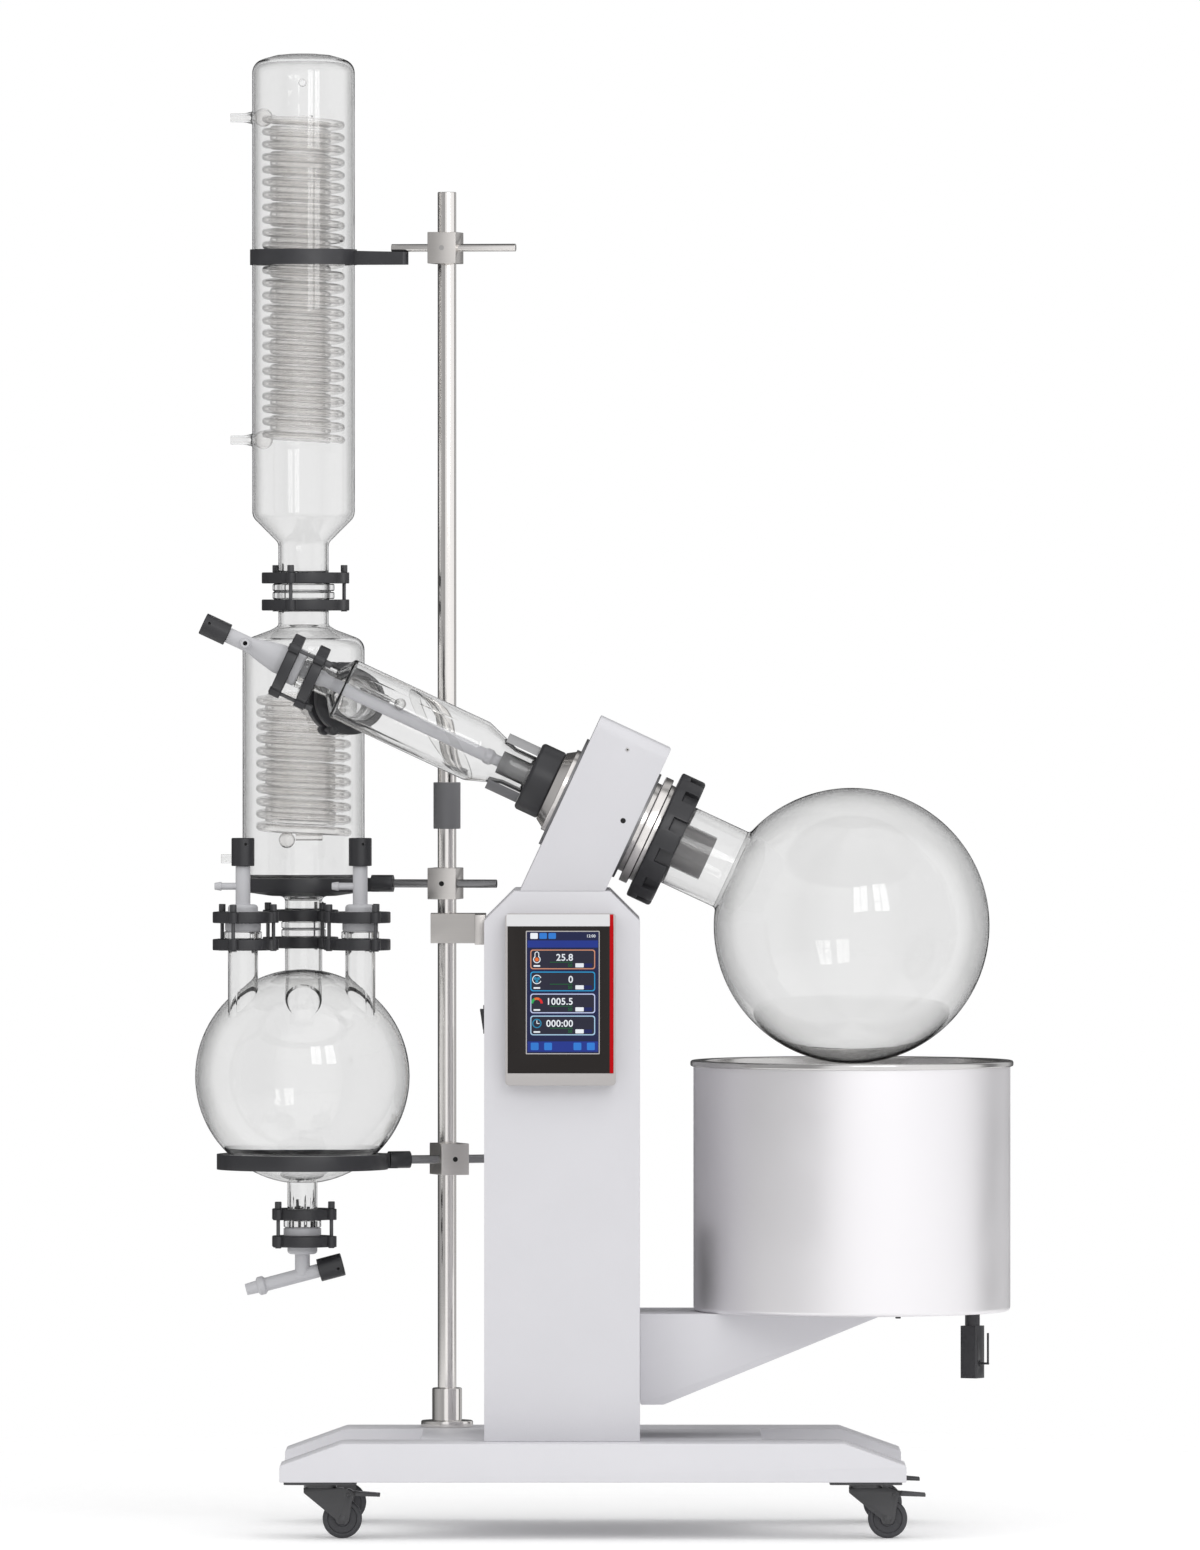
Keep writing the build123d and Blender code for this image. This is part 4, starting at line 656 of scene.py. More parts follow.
BATH_STEEL = BrushedMetal("polished_bath_steel", "polished_steel", colour=(0.66, 0.65, 0.64), roughness=0.2, line_scale=700.0)
SCREW_STEEL = BrushedMetal("screw_steel", "steel", colour=(0.5, 0.49, 0.48), roughness=0.3, line_scale=3000.0)
# Both glasses carry painted shade: their colour darkens where the wall is seen edge on.
CLEAR_GLASS = BlownGlass("clear_blown_glass", "clear_glass")
COIL_GLASS = BlownGlass("milky_coil_glass", "coil_glass", tint=(0.972, 0.966, 0.96), edge=(0.12, 0.115, 0.11), roughness=0.02, painted_edge_shade_power=2.2)
GROUND_GLASS = Coating("grey_ground_glass", "coil_glass", colour=(0.24, 0.23, 0.232), roughness=0.2, coat=0.6, variation=0.06)
GUARD_GREY = Coating("light_grey_guard_plastic", "black_plastic", colour=(0.34, 0.34, 0.345), roughness=0.4, variation=0.04)
# Painted shade: a near-black sheet laid where a hole or socket would be dark.
HOLE_PAINTED_SHADE = Coating("painted_recess_shade", "black_plastic", colour=(0.006, 0.006, 0.006), roughness=0.8)


# Making pieces
def finish_mesh(data: bpy.types.Mesh, sharp: float) -> None:
    """Merge doubles, smooth the faces and keep edges over an angle sharp."""
    work = bmesh.new()
    work.from_mesh(data)
    bmesh.ops.remove_doubles(work, verts=work.verts, dist=1e-6)
    for face in work.faces:
        face.smooth = True
    work.to_mesh(data)
    work.free()
    data.set_sharp_from_angle(angle=math.radians(sharp))


def softened(holder: bpy.types.Object, width: float) -> None:
    """Round an object's sharp edges with a live bevel of the given width in metres."""
    bevel = holder.modifiers.new("soft_edges", "BEVEL")
    bevel.width = width
    bevel.segments = 2
    bevel.limit_method = "ANGLE"
    bevel.angle_limit = math.radians(35)
    bevel.use_clamp_overlap = True
    bevel.harden_normals = False


def baked(holder: bpy.types.Object) -> None:
    """Turn an object's modifiers into plain mesh."""
    graph = bpy.context.evaluated_depsgraph_get()
    data = bpy.data.meshes.new_from_object(holder.evaluated_get(graph))
    old = holder.data
    holder.modifiers.clear()
    holder.data = data
    bpy.data.meshes.remove(old)


def piece(
    name: str,
    solid: Solid,
    finish: Finish,
    body: str,
    nodes: Sequence[str] = (),
    bevel: float = 0.0,
    sharp: float = 32.0,
) -> bpy.types.Object:
    """Finished piece of the object.

    Args:
        name: Name of the piece.
        solid: Its shape in drawing millimetres.
        finish: Its finish.
        body: Body of the frame that it rides on.
        nodes: Nodes of the frame that it stands for.
        bevel: Width of its softened edges in millimetres.
        sharp: Angle in degrees over which an edge stays sharp.

    Returns:
        The object.
    """
    data = Solid([(point - SHIFT) * MILLIMETRE for point in solid.points], solid.faces).mesh(name)
    holder = bpy.data.objects.new(name, data)
    bpy.context.scene.collection.objects.link(holder)
    finish_mesh(data, sharp)
    if bevel > 0:
        softened(holder, bevel * MILLIMETRE)
        baked(holder)
        finish_mesh(holder.data, sharp)
    return registered(holder, finish, body, nodes)


def registered(holder: bpy.types.Object, finish: Finish, body: str, nodes: Sequence[str]) -> bpy.types.Object:
    """Give a piece its material and body, and hide the nodes that it stands for."""
    holder.data.materials.clear()
    holder.data.materials.append(finish.material())
    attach(holder, body)
    if nodes:
        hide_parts(*nodes)
    LOG.info("%s: %d faces on %s", holder.name, len(holder.data.polygons), body)
    return holder


def dressed_copy(node: str, finish: Finish, bevel: float = 0.6, sharp: float = 30.0) -> bpy.types.Object:
    """Copy of a node with merged faces and soft edges, which stands for the node.

    Args:
        node: Name of the node.
        finish: Finish of the copy.
        bevel: Width of the softened edges in millimetres; nothing is softened at zero.
        sharp: Angle in degrees over which an edge stays sharp.

    Returns:
        The copy.
    """
    source = frame["nodes"][node]
    data = source.data.copy()
    data.name = node + "_dressed"
    work = bmesh.new()
    work.from_mesh(data)
    bmesh.ops.remove_doubles(work, verts=work.verts, dist=2e-6)
    bmesh.ops.dissolve_limit(work, angle_limit=math.radians(1.0), verts=work.verts, edges=work.edges)
    work.to_mesh(data)
    work.free()
    holder = bpy.data.objects.new(node + "_dressed", data)
    bpy.context.scene.collection.objects.link(holder)
    if bevel > 0:
        softened(holder, bevel * MILLIMETRE)
        baked(holder)
    finish_mesh(holder.data, sharp)
    return registered(holder, finish, source["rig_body"], [node])


# Geometry node trees
@dataclass(frozen=True)
class CoilTree:
    """Helix of one hollow glass tube, grown by Geometry Nodes."""

    radius: float
    low: float
    high: float
    pitch: float
    tube: float
    bore: float
    steps: int = 26
    sides: int = 12

    def tree(self) -> tuple[bpy.types.NodeTree, dict[str, str]]:
        """Node tree of a helix.

        Returns:
            The tree and the identifier of each named input.
        """
        tree = bpy.data.node_groups.new("glass_coil", "GeometryNodeTree")
        keys = {}
        for label, kind in (
            ("Turns", "NodeSocketFloat"),
            ("Radius", "NodeSocketFloat"),
            ("Height", "NodeSocketFloat"),
            ("Tube", "NodeSocketFloat"),
            ("Bore", "NodeSocketFloat"),
            ("Place", "NodeSocketVector"),
            ("Finish", "NodeSocketMaterial"),
        ):
            keys[label] = tree.interface.new_socket(label, in_out="INPUT", socket_type=kind).identifier
        tree.interface.new_socket("Geometry", in_out="OUTPUT", socket_type="NodeSocketGeometry")
        source = tree.nodes.new("NodeGroupInput")
        spiral = tree.nodes.new("GeometryNodeCurveSpiral")
        spiral.inputs["Resolution"].default_value = self.steps
        link = tree.links.new
        link(source.outputs["Turns"], spiral.inputs["Rotations"])
        link(source.outputs["Radius"], spiral.inputs["Start Radius"])
        link(source.outputs["Radius"], spiral.inputs["End Radius"])
        link(source.outputs["Height"], spiral.inputs["Height"])
        walls = []
        for label in ("Tube", "Bore"):
            circle = tree.nodes.new("GeometryNodeCurvePrimitiveCircle")
            circle.inputs["Resolution"].default_value = self.sides
            link(source.outputs[label], circle.inputs["Radius"])
            sweep = tree.nodes.new("GeometryNodeCurveToMesh")
            sweep.inputs["Fill Caps"].default_value = True
            link(spiral.outputs["Curve"], sweep.inputs["Curve"])
            link(circle.outputs["Curve"], sweep.inputs["Profile Curve"])
            walls.append(sweep.outputs["Mesh"])
        flip = tree.nodes.new("GeometryNodeFlipFaces")
        link(walls[1], flip.inputs["Mesh"])
        join = tree.nodes.new("GeometryNodeJoinGeometry")
        link(flip.outputs["Mesh"], join.inputs["Geometry"])
        link(walls[0], join.inputs["Geometry"])
        shift = tree.nodes.new("GeometryNodeTransform")
        link(join.outputs["Geometry"], shift.inputs["Geometry"])
        link(source.outputs["Place"], shift.inputs["Translation"])
        realise = tree.nodes.new("GeometryNodeRealizeInstances")
        link(shift.outputs["Geometry"], realise.inputs["Geometry"])
        dress = tree.nodes.new("GeometryNodeSetMaterial")
        link(realise.outputs["Geometry"], dress.inputs["Geometry"])
        link(source.outputs["Finish"], dress.inputs["Material"])
        result = tree.nodes.new("NodeGroupOutput")
        link(dress.outputs["Geometry"], result.inputs["Geometry"])
        return tree, keys

    def grow(self, name: str, centre: Vector, finish: Finish, body: str, nodes: Sequence[str]) -> bpy.types.Object:
        """Grow the coil as a plain mesh.

        Args:
            name: Name of the piece.
            centre: Point of the coil's axis on the floor, in drawing millimetres.
            finish: Its finish.
            body: Body that it rides on.
            nodes: Nodes that it stands for.

        Returns:
            The coil.
        """
        tree, keys = self.tree()
        holder = bpy.data.objects.new(name, bpy.data.meshes.new(name))
        bpy.context.scene.collection.objects.link(holder)
        grower = holder.modifiers.new("coil", "NODES")
        grower.node_group = tree
        foot = (centre - SHIFT + Vector((0, 0, self.low))) * MILLIMETRE
        grower[keys["Turns"]] = (self.high - self.low) / self.pitch
        grower[keys["Radius"]] = self.radius * MILLIMETRE
        grower[keys["Height"]] = (self.high - self.low) * MILLIMETRE
        grower[keys["Tube"]] = self.tube * MILLIMETRE
        grower[keys["Bore"]] = self.bore * MILLIMETRE
        grower[keys["Place"]] = tuple(foot)
        grower[keys["Finish"]] = finish.material()
        baked(holder)
        face_outwards(holder.data)
        finish_mesh(holder.data, 50.0)
        return registered(holder, finish, body, nodes)


def face_outwards(data: bpy.types.Mesh) -> None:
    """Turn a mesh's faces over if its volume comes out negative."""
    work = bmesh.new()
    work.from_mesh(data)
    if work.calc_volume(signed=True) < 0:
        bmesh.ops.reverse_faces(work, faces=work.faces)
    work.to_mesh(data)
    work.free()


@dataclass(frozen=True)
class RingTree:
    """Copies of one small part set evenly round a circle by Geometry Nodes."""

    count: int
    radius: float
    first: float = 0.0

    def grow(self, part: Solid, places: Sequence[Matrix], name: str, finish: Finish, body: str, nodes: Sequence[str] = ()):
        """Set copies of the part round a circle at every place.

        Args:
            part: The repeated part, standing at the drawing's origin.
            places: Placements of the circle, in drawing millimetres.
            name: Name of the piece.
            finish: Its finish.
            body: Body that it rides on.
            nodes: Nodes that it stands for.

        Returns:
            One piece with all the copies.
        """
        grown = [self.once(part, place, finish) for place in places]
        solid = side_by_side(grown)
        return piece(name, solid, finish, body, nodes)

    def once(self, part: Solid, place: Matrix, finish: Finish) -> Solid:
        """Copies round one circle as a solid."""
        tree = bpy.data.node_groups.new("ring_of_parts", "GeometryNodeTree")
        keys = {}
        for label, kind in (
            ("Count", "NodeSocketInt"),
            ("Radius", "NodeSocketFloat"),
            ("First Angle", "NodeSocketFloat"),
            ("Part", "NodeSocketObject"),
            ("Finish", "NodeSocketMaterial"),
        ):
            keys[label] = tree.interface.new_socket(label, in_out="INPUT", socket_type=kind).identifier
        tree.interface.new_socket("Geometry", in_out="OUTPUT", socket_type="NodeSocketGeometry")
        source = tree.nodes.new("NodeGroupInput")
        link = tree.links.new
        points = tree.nodes.new("GeometryNodeMeshLine")
        points.mode = "OFFSET"
        points.inputs["Offset"].default_value = (0.0, 0.0, 0.0)
        link(source.outputs["Count"], points.inputs["Count"])
        info = tree.nodes.new("GeometryNodeObjectInfo")
        link(source.outputs["Part"], info.inputs["Object"])
        out = tree.nodes.new("GeometryNodeTransform")
        link(info.outputs["Geometry"], out.inputs["Geometry"])
        reach = tree.nodes.new("ShaderNodeCombineXYZ")
        link(source.outputs["Radius"], reach.inputs["X"])
        link(reach.outputs["Vector"], out.inputs["Translation"])
        index = tree.nodes.new("GeometryNodeInputIndex")
        share = tree.nodes.new("ShaderNodeMath")
        share.operation = "DIVIDE"
        link(index.outputs["Index"], share.inputs[0])
        link(source.outputs["Count"], share.inputs[1])
        swing = tree.nodes.new("ShaderNodeMath")
        swing.operation = "MULTIPLY_ADD"
        swing.inputs[1].default_value = 2 * math.pi
        link(share.outputs["Value"], swing.inputs[0])
        link(source.outputs["First Angle"], swing.inputs[2])
        spin = tree.nodes.new("ShaderNodeCombineXYZ")
        link(swing.outputs["Value"], spin.inputs["Z"])
        copies = tree.nodes.new("GeometryNodeInstanceOnPoints")
        link(points.outputs["Mesh"], copies.inputs["Points"])
        link(out.outputs["Geometry"], copies.inputs["Instance"])
        link(spin.outputs["Vector"], copies.inputs["Rotation"])
        realise = tree.nodes.new("GeometryNodeRealizeInstances")
        link(copies.outputs["Instances"], realise.inputs["Geometry"])
        dress = tree.nodes.new("GeometryNodeSetMaterial")
        link(realise.outputs["Geometry"], dress.inputs["Geometry"])
        link(source.outputs["Finish"], dress.inputs["Material"])
        result = tree.nodes.new("NodeGroupOutput")
        link(dress.outputs["Geometry"], result.inputs["Geometry"])
        part_holder = temporary(part)
        holder = temporary(part)
        grower = holder.modifiers.new("ring", "NODES")
        grower.node_group = tree
        grower[keys["Count"]] = self.count
        grower[keys["Radius"]] = self.radius
        grower[keys["First Angle"]] = math.radians(self.first)
        grower[keys["Part"]] = part_holder
        grower[keys["Finish"]] = finish.material()
        solid = settled(holder)
        data = part_holder.data
        bpy.data.objects.remove(part_holder)
        bpy.data.meshes.remove(data)
        return solid.at(place)


# Frames of the sub-assemblies in drawing millimetres
HEAD_AXIS = Vector((29.3, -40.0, 910.4))
CONDENSER = move(-383.0, 205.0)
RECEIVER = move(-383.0, 112.0)


def rotary_frame() -> Matrix:
    """Frame on the flask axis: Z runs down to the flask, X stands up from it and Y points at the viewer."""
    tilt = math.radians(TILT)
    upright = Vector((math.sin(tilt), 0, math.cos(tilt)))
    down = Vector(TILTED_AXIS)
    frame_matrix = Matrix((upright, down.cross(upright), down)).transposed().to_4x4()
    return Matrix.Translation(HEAD_AXIS) @ frame_matrix


ROTARY = rotary_frame()
PORT_DISTANCE = -364.0
PORT_START = ROTARY @ Vector((0, 0, PORT_DISTANCE))
PORT_RUN = (CONDENSER.translation - PORT_START).xy.length
PORT_TURN = math.degrees(math.atan2(CONDENSER.translation.y - PORT_START.y, CONDENSER.translation.x - PORT_START.x))
PORT = Matrix.Translation(PORT_START) @ turn(PORT_TURN, "Z") @ turn(90, "Y")


class JointSize(Enum):
    """Clamp ring radius, bolt circle and glass neck radius of the three sizes of joint."""

    SMALL = (39.0, 40.0, 19.25)
    CENTRE = (45.0, 46.0, 24.0)
    LARGE = (54.0, 53.6, 32.5)
    PORT = (46.5, 46.5, 32.4)

    @property
    def ring(self) -> float:
        """Outer radius of the clamp ring."""
        return self.value[0]

    @property
    def bolts(self) -> float:
        """Radius of the bolt circle."""
        return self.value[1]

    @property
    def neck(self) -> float:
        """Outer radius of the glass neck."""
        return self.value[2]


@dataclass(frozen=True)
class ClampedJoint:
    """One glass joint: its place, the angle of its first lug and its size."""

    name: str
    place: Matrix
    first_lug: float
    size: JointSize


@dataclass
class GlassClamps:
    """Ring clamps that press the flanges of each glass joint together."""

    gap: float = 9.7
    height: float = 14.4
    lug: float = 6.75
    gasket: float = 1.2
    chamfer: float = 1.5
    screw: float = 2.4
    head: float = 4.4
    head_height: float = 9.5
    nut_height: float = 1.2
    neck_joint: float = 765.6
    drain_joint: float = 382.8
    upper_joint: float = 1201.4
    feed_joint: float = -454.0
    port_joint: float = 80.0

    def joints(self) -> list[ClampedJoint]:
        """Every clamped joint of the glass."""
        left, right = Receiver.side_axes()
        return [
            ClampedJoint("upper", CONDENSER @ move(z=self.upper_joint), 13, JointSize.LARGE),
            ClampedJoint("centre", CONDENSER @ move(z=self.neck_joint), 63, JointSize.CENTRE),
            ClampedJoint("left_vent", left @ move(z=self.neck_joint), 13, JointSize.SMALL),
            ClampedJoint("right_vent", right @ move(z=self.neck_joint), 60, JointSize.SMALL),
            ClampedJoint("drain", RECEIVER @ move(z=self.drain_joint), 100, JointSize.SMALL),
            ClampedJoint("feed", ROTARY @ move(z=self.feed_joint), 59, JointSize.SMALL),
            ClampedJoint("port", PORT @ move(z=self.port_joint), 30, JointSize.PORT),
        ]

    def ring(self, size: JointSize) -> Solid:
        """One clamp ring with three lugs, standing on Z = 0."""
        body = Solid.rod(size.ring, 0, self.height, 72, self.chamfer)
        lug = Solid.rod(self.lug, 0, self.height, 24, 1.0)
        lugs = [lug.at(turn(120 * index, "Z"), move(size.bolts)) for index in range(3)]
        whole = fused(body, *lugs)
        return cut(whole, Solid.rod(size.neck + 0.4, -1, self.height + 1, 72))

    def screw_part(self) -> Solid:
        """Screw with a round head above the rings and a nut below them, about the joint's plane."""
        edge = self.gap + self.gasket / 2 + self.height
        shank = Solid.rod(self.screw, -edge - self.nut_height, edge + 1, 16)
        head = Solid.rod(self.head, edge, edge + self.head_height, 20, 0.9)
        nut = Solid.rod(self.head * 0.95, -edge - self.nut_height, -edge, 6, 0.3)
        return shank.beside(head, nut)

    def build(self) -> None:
        """Make the rings, gaskets and screws of every joint."""
        rings = {size: self.ring(size) for size in JointSize}
        edge = self.gap + self.gasket / 2
        bodies, gaskets, screws = [], [], []
        screw = self.screw_part()
        for joint in self.joints():
            spun = joint.place @ turn(joint.first_lug, "Z")
            bodies.append(rings[joint.size].at(spun, move(z=edge)))
            bodies.append(rings[joint.size].at(spun, move(z=-edge - self.height)))
            neck = joint.size.neck
            gaskets.append(Solid.tube(neck + 3, neck - 3, -self.gasket / 2, self.gasket / 2).at(joint.place))
            screws.append(RingTree(3, joint.size.bolts).once(screw, spun, BLACK_PLASTIC))
        piece("clamp_rings", side_by_side(bodies), BLACK_PLASTIC, "root", ["joint_clamps"], bevel=0.5)
        piece("joint_gaskets", side_by_side(gaskets), PTFE, "root", ["joint_clamps"])
        piece("clamp_screw_sets", side_by_side(screws), CASTER_BLACK, "root", ["clamp_screws"])


@dataclass
class Knob:
    """Smooth valve knob with a set screw hole, standing on Z = 0."""

    radius: float = 14.8
    length: float = 36.0
    spindle: float = 3.9
    spindle_depth: float = 20.0
    hole: float = 1.9
    dish: float = 0.8

    def solid(self) -> Solid:
        """Knob with a shallow dish in its end, a spindle and a set screw hole at the front."""
        body = Solid.lathe(
            [(0, -self.spindle_depth), (self.spindle, -self.spindle_depth), (self.spindle, 0), (self.radius, 0, 1.0),
             (self.radius, self.length, 1.6), (self.radius - 3, self.length), (self.radius - 4, self.length - self.dish),
             (0, self.length - self.dish)], 72
        )
        hole = Solid.rod(self.hole, self.radius - 5, self.radius + 5, 20)
        return cut(body, hole.at(move(z=self.length * 0.78), turn(14, "Z"), turn(90, "X")))


@dataclass
class Receiver:
    """Round receiver with three necks, its vent valves, drain valve and their knobs."""

    centre_height: float = 577.5
    radius: float = 138.0
    neck_circle: float = 93.0
    left_angle: float = 216.0
    right_angle: float = 324.0
    centre_neck: float = 24.0
    side_neck: float = 19.25
    side_flange: float = 24.25
    centre_flange: float = 28.7
    joint: float = 765.6
    drain_joint: float = 382.8
    flange_height: float = 9.1
    valve_stem: float = 9.5
    knob_bottom: float = 849.0
    knob_top: float = 885.0
    nozzle_height: float = 823.0
    nozzle_reach: float = 36.6
    drain_tilt: float = 14.8
    drain_cross: float = 322.0

    @staticmethod
    def side_axes() -> list[Matrix]:
        """Upright axes of the left and right neck, unturned."""
        found = []
        for angle in (Receiver.left_angle, Receiver.right_angle):
            bearing = math.radians(angle)
            reach = Receiver.neck_circle
            found.append(RECEIVER @ move(reach * math.cos(bearing), reach * math.sin(bearing)))
        return found

    def flask(self) -> Solid:
        """Blown receiver with its necks."""
        wall = GLASS_WALL
        outers, inners = [], []
        spots = [(RECEIVER @ move(y=self.neck_circle), self.centre_neck, self.centre_flange)]
        spots += [(place, self.side_neck, self.side_flange) for place in self.side_axes()]
        for place, neck, flange in spots:
            top = self.joint - 0.6
            outer = Solid.lathe(
                [(0, self.centre_height), (neck, self.centre_height), (neck, top - self.flange_height, 2),
                 (flange, top - self.flange_height, 1.5), (flange, top, 1.5), (0, top)]
            )
            outers.append(outer.at(place))
            inners.append(Solid.rod(neck - wall, self.centre_height, top + 2, 64).at(place))
        low = self.drain_joint + 0.6
        drain = Solid.lathe(
            [(0, low), (self.side_flange, low, 1.5), (self.side_flange, low + self.flange_height, 1.5),
             (self.side_neck, low + self.flange_height, 2), (self.side_neck, self.centre_height), (0, self.centre_height)]
        )
        outers.append(drain.at(RECEIVER))
        inners.append(Solid.rod(self.side_neck - wall, low - 2, self.centre_height, 64).at(RECEIVER))
        outer = fused(Solid.ball(self.radius, self.centre_height, 128).at(RECEIVER), *outers)
        inner = fused(Solid.ball(self.radius - wall, self.centre_height, 128).at(RECEIVER), *inners)
        return cut(outer, inner)

    def vent_valve(self) -> Solid:
        """One vent valve about its upright axis, with a hose nozzle to the left."""
        face = self.joint + 0.6
        top = self.knob_bottom - 0.3
        body = Solid.lathe(
            [(0, face), (23, face, 1), (23, face + 9.7, 1), (self.side_neck, face + 9.7),
             (self.side_neck, face + 33.5, 11), (self.valve_stem, face + 33.5, 1), (self.valve_stem, top, 0.6), (0, top)]
        )
        nozzle = Solid.lathe(
            [(2.5, 4), (4.5, 4), (4.5, self.nozzle_reach - 9), (5.85, self.nozzle_reach - 9, 0.5),
             (4.4, self.nozzle_reach, 0.8), (2.5, self.nozzle_reach)], 32
        )
        return body.beside(nozzle.at(move(z=self.nozzle_height), turn(-90, "Y")))

    def drain_axis(self) -> Matrix:
        """Axis of the inclined drain valve, rising to the right."""
        return RECEIVER @ move(z=self.drain_cross) @ turn(90 - self.drain_tilt, "Y")

    def drain_valve(self) -> Solid:
        """Drain valve: flanged stem, inclined body and hose barb."""
        face = self.drain_joint - 0.6
        stem = Solid.lathe(
            [(0, face), (self.side_flange, face, 1), (self.side_flange, face - 9.7, 1), (self.side_neck, face - 9.7),
             (self.side_neck, face - 33.5, 11), (9.6, face - 33.5, 1), (9.6, self.drain_cross), (0, self.drain_cross)]
        )
        body = Solid.lathe(
            [(4, -75), (7.4, -75, 1), (8.2, -60), (8.8, -60), (12, -58, 1.5), (12, -51, 1.5), (8.8, -48), (8.8, 21.7), (0, 21.7), (0, -30), (4, -30)]
        )
        return fused(stem.at(RECEIVER), body.at(self.drain_axis()))

    def build(self) -> None:
        """Make the receiver and its valves."""
        piece("receiver_glass", self.flask(), CLEAR_GLASS, "root", ["receiver_flask"], sharp=40)
        left, right = self.side_axes()
        valve = self.vent_valve()
        piece("vent_valve_pair", valve.at(left).beside(valve.at(right)), PTFE, "root", ["vent_valves"])
        knob = Knob(length=self.knob_top - self.knob_bottom).solid()
        for name, place in (("left", left), ("right", right)):
            node = name + "_vent_knob"
            piece(node + "_moulded", knob.at(place, move(z=self.knob_bottom)), BLACK_PLASTIC, node, [node])
        piece("drain_valve_body", self.drain_valve(), PTFE, "root", ["drain_valve"])
        handle = Knob(length=32.0).solid().at(self.drain_axis(), move(z=22.0))
        piece("drain_knob_moulded", handle, BLACK_PLASTIC, "drain_knob", ["drain_knob"])


